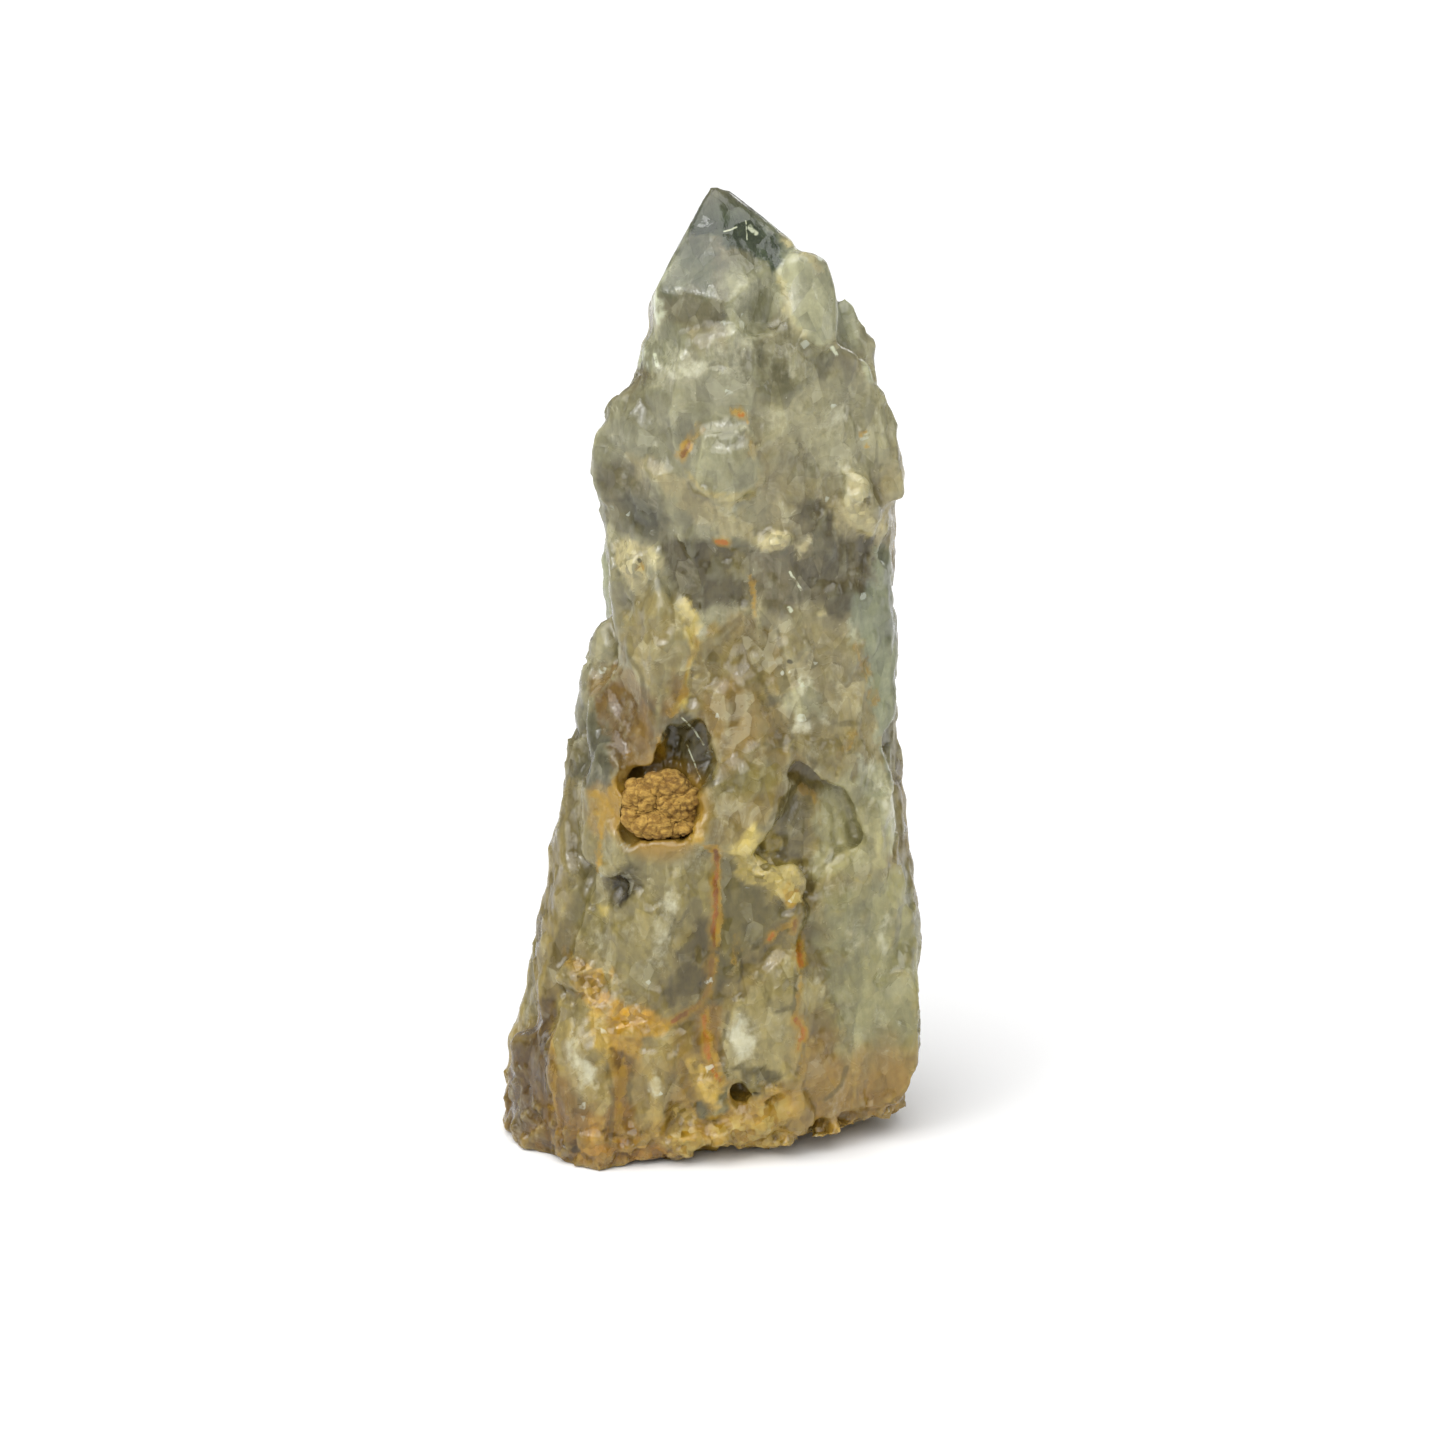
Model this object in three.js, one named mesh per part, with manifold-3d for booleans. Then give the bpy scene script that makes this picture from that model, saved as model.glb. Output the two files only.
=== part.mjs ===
// A smoky citrine cluster: one tall pointed crystal sheathed in smaller ones that grew side by side with it.
// They are one mass of quartz, broken off flat at the foot, with a plug of rusty clay in a pocket in front.
// Millimetres, +Z up, the front towards -Y. The origin is on the floor, below the middle of the outline.
import * as THREE from 'three';
import { ConvexGeometry } from 'three/addons/geometries/ConvexGeometry.js';
import { mergeVertices } from 'three/addons/utils/BufferGeometryUtils.js';
import Module from 'manifold-3d';

const wasm = await Module();
wasm.setup();

// Driving dimensions
const HEIGHT = 116.6; // foot to the main point
const MAIN_HALF = 9.4; // the main crystal's middle to its corners
const MAIN_AXIS = [1.4, 0.2]; // where it stands
const CRUST_HEIGHT = 5.0; // broken, stained grains round the foot
const CLAY_GAP = 0.42; // clearance between the clay and the quartz
const POCKET = { centre: [-5.9, -11.6, 44.4], half: [5.6, 7.4, 4.9] }; // the hollow that holds the clay

const PLATES = 10; // thin growth plates on the front
const SPRIGS = 7; // small points on the sides and the back
const GRAINS = 30; // broken grains round the foot

const FLANK_GABLE = 0.62; // height of a flank's ridge at its sides, as a share of that at its middle

const SHEATH_SEED = 31;
const CRUST_SEED = 7;
const HOLLOW_SEED = 5;
const CLAY_SEED = 9;

// The body as ellipses: middle x and y, and half widths along x and y, at height z
const SECTIONS = [
  { z: 0, cx: -0.6, cy: 1.6, rx: 24.6, ry: 15.0 },
  { z: 14, cx: 1.2, cy: 1.4, rx: 24.4, ry: 14.6 },
  { z: 28, cx: 2.4, cy: 1.2, rx: 23.2, ry: 14.2 },
  { z: 48, cx: 3.4, cy: 0.9, rx: 19.8, ry: 13.0 },
  { z: 66, cx: 5.2, cy: 0.8, rx: 17.0, ry: 11.8 },
  { z: 82, cx: 4.9, cy: 0.8, rx: 18.0, ry: 11.6 },
  { z: 92, cx: 4.9, cy: 0.6, rx: 16.2, ry: 10.8 },
  { z: 103, cx: 4.2, cy: 0.4, rx: 11.4, ry: 9.0 },
];

const rad = THREE.MathUtils.degToRad;
const vec = (p) => new THREE.Vector3(...p);

// A repeatable stream of numbers from 0 to 1
function seeded(seed) {
  let state = seed >>> 0;
  return () => {
    state = (state + 0x6d2b79f5) >>> 0;
    let t = state;
    t = Math.imul(t ^ (t >>> 15), t | 1);
    t ^= t + Math.imul(t ^ (t >>> 7), t | 61);
    return ((t ^ (t >>> 14)) >>> 0) / 4294967296;
  };
}

function section(z) {
  const high = SECTIONS.findIndex((s) => s.z >= z);
  if (high <= 0) return high === 0 ? SECTIONS[0] : SECTIONS[SECTIONS.length - 1];
  const [a, b] = [SECTIONS[high - 1], SECTIONS[high]];
  const t = (z - a.z) / (b.z - a.z);
  const mix = (key) => a[key] + (b[key] - a[key]) * t;
  return { z, cx: mix('cx'), cy: mix('cy'), rx: mix('rx'), ry: mix('ry') };
}

// A point near the body's surface at a height and a heading: 0 is the front, 90 the right side
function onBody(z, heading, share = 1, lift = 0) {
  const s = section(z);
  const [dx, dy] = [Math.sin(rad(heading)), -Math.cos(rad(heading))];
  return new THREE.Vector3(s.cx + (s.rx * share + lift) * dx, s.cy + (s.ry * share + lift) * dy, z);
}

function solid(geometry) {
  const bare = geometry.clone();
  bare.deleteAttribute('normal');
  bare.deleteAttribute('uv');
  const merged = mergeVertices(bare, 1e-4);
  return new wasm.Manifold(new wasm.Mesh({
    numProp: 3,
    vertProperties: new Float32Array(merged.attributes.position.array),
    triVerts: new Uint32Array(merged.index.array),
  }));
}

const hull = (points) => solid(new ConvexGeometry(points));
const join = (shapes) => shapes.reduce((whole, next) => whole.add(next));
const cut = (shape, tools) => tools.reduce((left, tool) => left.subtract(tool), shape);

// The outer surface only: small gaps sealed in between crystals, and crumbs cut loose, are dropped
function outerGeometry(shape) {
  const mesh = shape.getMesh();
  const leader = Int32Array.from({ length: mesh.vertProperties.length / 3 }, (_, i) => i);
  const find = (i) => {
    let at = i;
    while (leader[at] !== at) at = leader[at] = leader[leader[at]];
    return at;
  };
  const corners = mesh.triVerts;
  for (let t = 0; t < corners.length; t += 3) {
    leader[find(corners[t])] = find(corners[t + 1]);
    leader[find(corners[t + 1])] = find(corners[t + 2]);
  }
  const shells = new Map();
  for (let t = 0; t < corners.length; t += 3) {
    const key = find(corners[t]);
    if (!shells.has(key)) shells.set(key, []);
    shells.get(key).push(corners[t], corners[t + 1], corners[t + 2]);
  }
  const [largest] = [...shells.values()].sort((a, b) => b.length - a.length);
  const geometry = new THREE.BufferGeometry();
  geometry.setAttribute('position', new THREE.BufferAttribute(mesh.vertProperties, 3));
  geometry.setIndex(largest);
  const flat = geometry.toNonIndexed();
  flat.computeVertexNormals();
  return flat;
}

// One crystal: a six-sided shaft from foot to shoulders, and a cap of sloping faces that meet at the tip.
// face is the heading that a flat side looks to, and cap the length of the sloping faces.
function crystal({ tip, foot, wide, face = 0, cap = wide * 0.62, taper = 0.94 }, random) {
  const [top, bottom] = [vec(tip), vec(foot)];
  const along = top.clone().sub(bottom);
  const length = along.length();
  along.normalize();
  const outward = new THREE.Vector3(Math.sin(rad(face)), -Math.cos(rad(face)), 0);
  const across = new THREE.Vector3().crossVectors(along, outward).normalize();
  const out = new THREE.Vector3().crossVectors(across, along).normalize();
  const points = [top];
  for (let i = 0; i < 6; i++) {
    const a = rad(i * 60 + (random() - 0.5) * 12);
    const reach = (wide / 2) * (0.92 + random() * 0.16);
    const drop = cap * (0.7 + random() * 0.6);
    for (const [rise, share] of [[random() * wide * 0.4, 1], [length - drop, taper]]) {
      points.push(bottom.clone()
        .addScaledVector(across, Math.cos(a) * reach * share)
        .addScaledVector(out, Math.sin(a) * reach * share)
        .addScaledVector(along, rise));
    }
  }
  return hull(points);
}

// A broken grain: the hull of a few points scattered on a squashed ball
function grain(centre, half, random, count = 11) {
  const points = [];
  for (let i = 0; i < count; i++) {
    const up = 1 - (2 * (i + 0.5)) / count;
    const turn = i * 2.39996 + random() * 0.9;
    const r = Math.sqrt(1 - up * up) * (0.82 + random() * 0.3);
    points.push(new THREE.Vector3(
      centre[0] + half[0] * r * Math.cos(turn),
      centre[1] + half[1] * r * Math.sin(turn),
      centre[2] + half[2] * up * (0.85 + random() * 0.25),
    ));
  }
  return hull(points);
}

// A block behind a ring of corners: the same ring drawn in and set back by a depth along y
function block(ring, depth = 8, shrink = 0.8) {
  const points = ring.map(vec);
  const middle = points.reduce((sum, p) => sum.add(p), new THREE.Vector3()).divideScalar(points.length);
  const back = points.map((p) => p.clone().sub(middle).multiplyScalar(shrink).add(middle));
  back.forEach((p) => p.setY(p.y + depth));
  return hull([...points, ...back]);
}

// A ridge round a ring of corners: the same ring drawn in and made lower ahead of it and behind it,
// so that from the side it stands on a square foot and ends in a point
function ridge(ring, ahead, behind, shrink = 0.86) {
  const points = ring.map(vec);
  const low = Math.min(...points.map((p) => p.z));
  const middle = points.reduce((sum, p) => sum + p.x, 0) / points.length;
  const drawnIn = (shift) => points.map((p) => new THREE.Vector3(
    middle + (p.x - middle) * shrink, p.y + shift, low + (p.z - low) * FLANK_GABLE,
  ));
  return hull([...points, ...drawnIn(-ahead), ...drawnIn(behind)]);
}

// The heart of the cluster, from the foot to the shoulders, as stacked convex blocks of sections
function heart() {
  // heading of each corner, and the share of the body's reach that it takes
  const headings = [[14, 0.78], [50, 0.82], [84, 0.9], [118, 0.92], [156, 0.92], [192, 0.92], [228, 0.92],
    [266, 0.9], [302, 0.82], [338, 0.78]];
  const ring = (z) => headings.map(([h, share]) => onBody(z, h, share));
  const blocks = [[0, 14, 30], [26, 50], [44, 68], [60, 82, 93], [86, 103]];
  return blocks.map((heights) => {
    const points = heights.flatMap((z) => ring(z));
    if (heights[0] === 0) points.push(...ring(0).map((p) => p.setZ(-1)));
    return hull(points);
  });
}

// The tall crystal that stands above the rest, an edge of it towards the front and its point a short ridge
function mainCrystal() {
  const points = [new THREE.Vector3(0.3, -0.3, HEIGHT), new THREE.Vector3(2.3, 0.5, HEIGHT - 0.7)];
  // heading of each corner, and how far below the point its shoulder is
  const corners = [[7, 12.6], [67, 6.4], [127, 7.2], [187, 11.8], [247, 15.0], [307, 11.4]];
  for (const [heading, drop] of corners) {
    const [dx, dy] = [Math.sin(rad(heading)) * MAIN_HALF, -Math.cos(rad(heading)) * MAIN_HALF];
    points.push(new THREE.Vector3(MAIN_AXIS[0] + dx, MAIN_AXIS[1] + dy, HEIGHT - drop));
    points.push(new THREE.Vector3(MAIN_AXIS[0] + 1.2 + dx, MAIN_AXIS[1] + dy * 0.92, 70));
  }
  return hull(points);
}

// Blocks of the front, each by the corners of its face, top to bottom
const FRONT_BLOCKS = [
  // left shoulder, and the lobe below it
  [[-6, -3, 100.5], [-3.5, -6.5, 101.8], [-1.5, -8.6, 96], [-5.5, -8.2, 89.5], [-8.5, -3, 96],
    [-8.2, -2.5, 98], [-8.2, -5, 92]],
  [[-8.2, -3, 94.5], [-11.6, -2, 91], [-13.6, -2, 87], [-13.6, -2.5, 82], [-13.2, -3, 79.5], [-8, -7.2, 80.5],
    [-2, -9.6, 84.5], [-2, -9, 92.5], [-5.5, -7.4, 94]],
  // the broad milky middle under the main point
  [[-3.5, -8.2, 100], [3.5, -9.8, 101.5], [6.5, -10.2, 95], [9.5, -10.2, 90.5], [6, -10.8, 81.5],
    [-1, -10.4, 81], [-5, -9.2, 88]],
  // the pale scab on it
  [[-1, -11, 89.5], [4, -11.2, 90], [5.7, -11.9, 86], [6, -11.8, 83.5], [3.5, -11.6, 81], [0.5, -11.6, 81],
    [-2, -11, 83], [-2, -11, 85]],
  // the second crystal, on the right of the main one
  [[8, -5.5, 108.4], [10, -6, 109.4], [11.8, -5.8, 109.4], [13.6, -5.2, 108.4], [14.6, -5, 106],
    [15.1, -6, 102.4], [15, -7.2, 99.5], [12.5, -9.2, 95.5], [10.5, -9.2, 96], [8.8, -7.9, 99],
    [8, -6.4, 104]],
  // the dark glassy face under it
  [[4.8, -9.2, 100.2], [8.2, -7.8, 101], [11.8, -9.0, 97.4], [11.4, -9.6, 94], [8.4, -9.9, 91],
    [5.6, -10.3, 92.6]],
  // the right of the body
  [[10.5, -9.4, 96], [15, -7.8, 99], [18.5, -5, 96.5], [20.4, -3.5, 92.6], [22, -3, 88], [22.6, -3, 83.5],
    [21.8, -3.4, 76], [18.5, -6.6, 71.5], [11, -9.0, 77.5], [6.2, -10.2, 81], [7.6, -10.3, 90.5]],
  // the cream patch low on its right
  [[15.5, -9, 84.5], [18, -8.4, 84], [19.2, -7.8, 80.5], [20.5, -7, 78], [19.5, -7.2, 75.8],
    [17.5, -8.4, 76.8], [15.6, -9.4, 80]],
  // a bank that runs down to the right, the cream patch left of it, and a small ledge
  [[-8, -7.6, 84.5], [-2, -10.2, 84], [3.4, -11, 79.4], [5.6, -10.6, 75], [1.2, -9.9, 75.4],
    [-4.5, -8.8, 78.4], [-6.4, -7.8, 80.5]],
  [[-11.6, -4.5, 74.5], [-8, -6.8, 76.4], [-6, -8.4, 74], [-6, -9, 70], [-9.5, -7, 68], [-11.8, -4.2, 70]],
  // the dark face set back between the bank and the left shoulder
  [[-12.8, -2.4, 81.6], [-8, -6.6, 82.4], [-5.4, -8.1, 80.4], [-6.2, -7.5, 75], [-11.4, -3.9, 73.4],
    [-12.7, -2.2, 77]],
  [[5.2, -10.8, 76.4], [7.5, -11.4, 77.4], [10, -10.8, 76.6], [9.4, -10.6, 75], [5.4, -10.8, 75]],
  // three shallow ribs in the dark band
  [[-6.4, -7.4, 77.5], [2.8, -9.8, 79.5], [4.6, -9.6, 70], [3, -9.8, 64], [-2, -9.2, 63], [-6.4, -7.6, 68.5]],
  [[3.2, -9.9, 82], [7.6, -9.9, 84.5], [12, -9.2, 70], [11, -9.6, 63], [5.9, -10.0, 62], [4.9, -9.4, 70]],
  [[10.6, -9.2, 80], [16.5, -7.8, 78], [21.4, -4.2, 72], [21.8, -3.7, 65.5], [18, -7.8, 60.5],
    [12.5, -9.4, 62]],
  // the pointed plate on the left of the middle, and the one below it
  [[-5.5, -9.2, 70.8], [-8, -8.5, 68.5], [-10.2, -6.5, 66], [-10.2, -7.2, 62], [-8, -9.4, 56.5],
    [-5.5, -10.6, 52.5], [-3.2, -10.8, 56.5], [-1.8, -10.6, 63.5], [-2.4, -10, 67], [-6.5, -11.5, 62.5]],
  [[-9, -7, 61.5], [-11.6, -5.5, 59.5], [-14.4, -4.5, 56.2], [-14.6, -6, 50], [-10.5, -9.6, 47.6],
    [-6.6, -11.2, 49], [-5.2, -11, 53.5], [-7.5, -9.6, 57.5]],
  // the big plate in the middle, and the lobe it runs into
  [[-0.8, -9.4, 66.6], [4.5, -10, 68.2], [6.2, -10, 66.6], [7.6, -10.8, 63], [8.8, -11.4, 57.5],
    [9.6, -11.8, 52], [6, -12, 46.5], [1, -12, 49.5], [-2, -10.6, 57.5], [-2, -9.8, 63]],
  [[1, -12, 50], [6, -12.4, 52.5], [10, -12, 51.5], [9.6, -11.8, 44.5], [7.5, -12.4, 42.6], [5, -13.4, 38.6],
    [1, -13.8, 38.8], [-2.6, -13.6, 40.6], [-3.4, -13.4, 43], [-1, -12.8, 46.5]],
  // the wall on the left of the clay's pocket, and the shelf under it
  [[-10.2, -11.6, 50], [-8.8, -12.8, 40], [-11.5, -11.6, 35.5], [-15.2, -8.6, 37], [-15.6, -7.6, 46],
    [-12.6, -9, 51.6]],
  [[-11.4, -11.8, 42], [-6, -13.2, 41], [-1, -13.6, 40.6], [-1, -13.4, 36], [-11.4, -12, 36]],
  // the plates on the right
  [[10.5, -9, 66], [15.5, -7.4, 66.6], [17.6, -7.4, 62], [20.4, -5.7, 56], [21, -5.6, 52], [21.4, -5.8, 46.6],
    [16.5, -9.8, 46], [13, -11.2, 47.4], [10.6, -11.6, 49.6], [8.8, -11, 57.5], [9, -10.2, 63]],
  // the broad face at the lower left, a slab beside it and the slanting face below that
  [[-9.5, -11, 39.8], [-6, -12.4, 40], [1, -13, 39], [0.2, -13.4, 34], [0, -13.6, 26],
    [-0.4, -13.6, 21.8], [-5, -13.8, 18], [-12, -12.6, 20.5], [-17, -9, 24], [-15.8, -8.8, 28],
    [-13, -9, 37], [-3.5, -14.2, 33]],
  [[0.2, -12.4, 40], [4.5, -12.4, 39], [8, -12, 32.5], [9.6, -11.8, 30], [-0.6, -12.9, 21],
    [-0.4, -12.9, 29.5]],
  [[1, -12.9, 22], [10.3, -11.4, 31], [12, -11, 23], [4.5, -12.2, 17]],
  // the joint below them, where the stout crystals part
  [[-3.8, -12.9, 19.6], [0.2, -12.9, 22.6], [3.6, -12.6, 20.6], [2.8, -13.1, 7], [-2.4, -13.4, 4],
    [-3.8, -13.0, 16]],
  // the face at the lower right, with the pale edge above it
  [[10.5, -9.6, 31], [15, -8, 38], [20.5, -7, 40], [23, -5.5, 30], [24.6, -4, 22.5], [24, -4.5, 10],
    [18, -8.4, 8],
    [13.5, -10, 20]],
  [[15.5, -9.6, 47], [21.2, -5.8, 48], [23.2, -4.5, 36], [24.3, -4, 27], [22.6, -6.2, 28], [20, -8.6, 39]],
  // the stout crystals of the bottom row, the outermost last
  [[10.6, -11.6, 27.5], [7, -12.8, 25], [3.5, -13.2, 21], [1.5, -13.4, 13], [6, -13.6, 7.5], [11, -12.4, 9],
    [12, -11.6, 15.5], [10.8, -11.8, 18.5], [7, -13.8, 16]],
  [[11.4, -10.6, 23.4], [13.5, -10.2, 22], [17, -8.8, 12], [20, -7, 5], [13, -10.6, 4], [11, -11.6, 10]],
  [[-18, -10.5, 19.6], [-14, -12.8, 18.6], [-10.8, -13.2, 17], [-10.8, -15.2, 7.5], [-10.4, -14.2, 0],
    [-13.4, -15.8, 0], [-18.4, -12.6, 0], [-19.8, -11, 14], [-15.4, -15, 11]],
  [[-11, -13.4, 15.5], [-6.8, -13.6, 19], [-2.5, -13.6, 17], [-2, -13.4, 9.5], [-4.4, -13.2, 0.6],
    [-11.2, -14.2, 0], [-6, -15.4, 10]],
  [[-23.4, -4.5, 13], [-19.4, -8.6, 16], [-17.8, -11.8, 6], [-17.8, -11.9, 0], [-23.6, -7.4, 0],
    [-25.4, -2, 0], [-25.2, -2, 6]],
];

// Ridges that shape the outline of the front view: the right side and then the left
const FLANKS = [
  [[15, 1, 95], [20.2, 1, 93.2], [21.3, 1, 91.6], [22.6, 1, 88.4], [23.2, 1, 84], [23.4, 1, 80.6],
    [18, 1, 79]],
  [[17, 0, 82], [22.4, 0, 81.5], [22.2, 0, 74], [21.9, 0, 70], [21.6, 0, 64], [16, 0, 62]],
  [[17, 1, 72], [21.9, 1, 69.5], [22.5, 1, 65.6], [22.5, 1, 59], [22.4, 1, 54], [16, 1, 50]],
  [[17, 0, 58], [22.3, 0, 57], [23.5, 0, 49], [24, 0, 41], [23.8, 0, 36], [17, 0, 32]],
  [[18, 1, 46], [23.8, 1, 42], [25, 1, 34.8], [25.4, 1, 28], [24.6, 1, 24], [18, 1, 20]],
  [[19, 1, 32], [24.4, 1, 33], [26, 1, 27.2], [26, 1, 20], [25.6, 1, 14], [24.8, 1, 9], [23.4, 1, 5],
    [18, 1, 5]],
  [[-5, 0, 91], [-8.3, 0, 92.4], [-11.4, 0, 90.6], [-13.5, 0, 86.8], [-13.6, 0, 80], [-12.3, 0, 76],
    [-4, 0, 72]],
  [[-4, 0, 80], [-12.7, 0, 79.5], [-12.2, 0, 73.7], [-11.6, 0, 68.6], [-10.6, 0, 64], [-3, 0, 60]],
  [[-4, 0, 70], [-10.8, 0, 67], [-11.8, 0, 60], [-12.5, 0, 56], [-13.2, 0, 50], [-4, 0, 46]],
  [[-6, 0, 60], [-12.5, 0, 58], [-15.6, 0, 53], [-18, 0, 44], [-18.6, 0, 34], [-6, 0, 30]],
  [[-8, 0, 46], [-17.2, 0, 44], [-19.8, 0, 34], [-21.4, 0, 24], [-21.6, 0, 16], [-8, 0, 12]],
  [[-10, 1, 30], [-20.4, 1, 29], [-22.4, 1, 21], [-24.4, 1, 12], [-25.6, 1, 4], [-25.4, 1, 0], [-10, 1, 0]],
];

// Free-standing points, small and large, where the sheath steps in
const POINTS = [
  { tip: [15.7, 0.4, 103.6], foot: [17.6, 0.4, 92], wide: 3.0, face: 30, cap: 1.9 },
  { tip: [18.2, 0.8, 101], foot: [18.9, 1, 84], wide: 3.6, face: 40, cap: 3.2 },
  { tip: [9.3, -2.5, 110], foot: [12, -2, 96], wide: 3.4, face: 20, cap: 2.6 },
  { tip: [-6.4, -0.4, 100.2], foot: [-5.8, 0, 84], wide: 4.4, face: -60, cap: 3.4 },
  { tip: [-11.2, 0.6, 65.6], foot: [-15.4, 0.6, 44], wide: 5.4, face: -70, cap: 3.4 },
  { tip: [12.4, 2.4, 107], foot: [14, 3, 84], wide: 8.4, face: 120, cap: 6 },
  { tip: [7, 7.6, 108.2], foot: [7.4, 9.4, 80], wide: 9.6, face: 170, cap: 7 },
  { tip: [-2.4, 8.0, 104], foot: [-2.8, 9.4, 78], wide: 8.6, face: 195, cap: 6 },
  { tip: [-5.6, 4.2, 98.4], foot: [-6.2, 5.4, 74], wide: 7.0, face: 240, cap: 5 },
  { tip: [13.6, 6.4, 99.4], foot: [15, 7.4, 74], wide: 7.6, face: 140, cap: 5 },
  { tip: [17.8, 4.4, 95.6], foot: [19, 4.6, 72], wide: 6.6, face: 100, cap: 4 },
  { tip: [2.6, 10.0, 97], foot: [2.4, 10.8, 70], wide: 7.6, face: 185, cap: 4 },
  { tip: [-9.4, 5.8, 88.6], foot: [-9.6, 6.6, 62], wide: 7.2, face: 235, cap: 4 },
];

// Shingles round the sides and the back, row by row: pointed plates whose feet stand proud as ledges
const ROWS = [
  { z: 92, from: 104, to: 258, count: 6, wide: 30, reach: 15 },
  { z: 82, from: 100, to: 262, count: 6, wide: 36, reach: 17 },
  { z: 70, from: 104, to: 258, count: 6, wide: 38, reach: 18 },
  { z: 57, from: 100, to: 262, count: 7, wide: 36, reach: 19 },
  { z: 43, from: 104, to: 258, count: 7, wide: 34, reach: 18 },
  { z: 30, from: 100, to: 262, count: 7, wide: 32, reach: 16 },
  { z: 17, from: 102, to: 260, count: 8, wide: 28, reach: 16 },
];

// One shingle: wide is in degrees of heading, z the height of its point and low that of its foot
function shingle({ z, low, heading, wide, proud }, random) {
  const side = (share) => heading + wide * share * (0.85 + random() * 0.3);
  const shoulder = z - (z - low) * (0.18 + random() * 0.22);
  const shoulder2 = z - (z - low) * (0.12 + random() * 0.3);
  const face = [
    [z, heading + wide * (random() - 0.5) * 0.5, 0.1],
    [shoulder, side(-0.42), 0.1],
    [shoulder2, side(0.42), 0.1],
    [(z + low) / 2, side(-0.46), proud * 0.3],
    [(z + low) / 2, side(0.46), proud * 0.3],
    [(z + low) / 2, side(0.12), proud],
    [low + random() * 3, side(-0.36), proud * 0.8],
    [low - random() * 1.5, side(0.04), proud * 1.1],
    [low + random() * 3, side(0.36), proud * 0.8],
  ];
  const front = face.map(([h, turn, lift]) => onBody(Math.max(0.4, h), turn, 0.95, lift));
  const back = face.map(([h, turn]) => onBody(Math.max(0.4, h), heading + (turn - heading) * 0.8, 0.6));
  return hull([...front, ...back]);
}

function sheath() {
  const random = seeded(SHEATH_SEED);
  return ROWS.flatMap(({ z, from, to, count, wide, reach }, row) => Array.from({ length: count }, (_, i) => {
    const step = (to - from) / (count - 1);
    const heading = from + step * (i + (random() - 0.5) * 0.7 + (row % 2 ? 0.2 : -0.2));
    const top = z + (random() - 0.5) * 8;
    return shingle({
      z: top, low: Math.max(0.4, top - reach * (0.8 + random() * 0.4)), heading,
      wide: wide * (0.8 + random() * 0.4), proud: 0.5 + random() * 1.1,
    }, random);
  }));
}

// Thin growth plates scattered over the front
function plates() {
  const random = seeded(SHEATH_SEED + 2);
  return Array.from({ length: PLATES }, (_, i) => {
    const z = 52 + (46 * (i + random())) / PLATES;
    const heading = -58 + 116 * ((i * 0.618 + random() * 0.2) % 1);
    const wide = 9 + random() * 9;
    return shingle({ z, low: z - 4 - random() * 6, heading, wide, proud: 0.5 + random() * 0.5 }, random);
  });
}

// Small points that stand on the ledges of the sheath
function sprigs() {
  const random = seeded(SHEATH_SEED + 1);
  return Array.from({ length: SPRIGS }, (_, i) => {
    const heading = 98 + (166 * (i + random() * 0.8)) / SPRIGS;
    const top = 22 + random() * 66;
    const size = 2.6 + random() * 2.4;
    return crystal({
      tip: onBody(top, heading, 0.96, 0.8).toArray(),
      foot: onBody(top - size * 2.6, heading + 2, 0.92, 0.4).toArray(),
      wide: size, face: heading + (random() - 0.5) * 40, cap: size * 0.7,
    }, random);
  });
}

// Broken grains along the foot, and lumps of them higher up
function crust() {
  const random = seeded(CRUST_SEED);
  const grains = Array.from({ length: GRAINS }, (_, i) => {
    const heading = (360 * (i + random() * 0.6)) / GRAINS;
    const size = 1.4 + random() * 1.8;
    const p = onBody(0.8 + random() * (CRUST_HEIGHT - 1.6), heading, 0.97, -size * 0.6);
    return grain(p.toArray(), [size, size, size * (0.6 + random() * 0.4)], random, 8);
  });
  // middle and half sizes of each lump
  const lumps = [
    [[-15.8, -9.6, 22.8], [3.2, 2.6, 2.8]],
    [[-12.4, -11.8, 19.8], [3.4, 2.4, 2.8]],
    [[-16.2, -10.2, 18.6], [2.8, 2.4, 2.6]],
    [[-9.2, -12.4, 16.8], [3.0, 2.2, 2.6]],
    [[5.8, -11.4, 36.8], [3.4, 2.4, 2.2]],
    [[9.2, -10.9, 35.0], [3.2, 2.2, 3.4]],
    [[10.2, -10.4, 31.0], [2.2, 2.2, 3.0]],
    [[-0.6, -12.4, 40.8], [2.8, 2.0, 1.8]],
    [[-0.8, -12.6, 10.0], [2.2, 1.9, 2.0]],
    [[1.8, -12.4, 12.4], [1.8, 1.8, 1.8]],
    [[10.2, -11.2, 5.8], [3.6, 2.4, 3.4]],
    [[1.6, -12.4, 3.8], [3.6, 2.4, 2.4]],
    [[-3.8, -13.0, 2.8], [3.4, 2.4, 2.4]],
    [[5.2, -11.8, 5.6], [3.6, 2.4, 3.2]],
  ];
  return [...grains, ...lumps.map(([centre, half]) => grain(centre, half, random, 12))];
}

// The hollow that holds the clay, or a smaller copy of it
function pocket(inset = 0) {
  return grain(POCKET.centre, POCKET.half.map((h) => h - inset), seeded(HOLLOW_SEED), 12);
}

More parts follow.
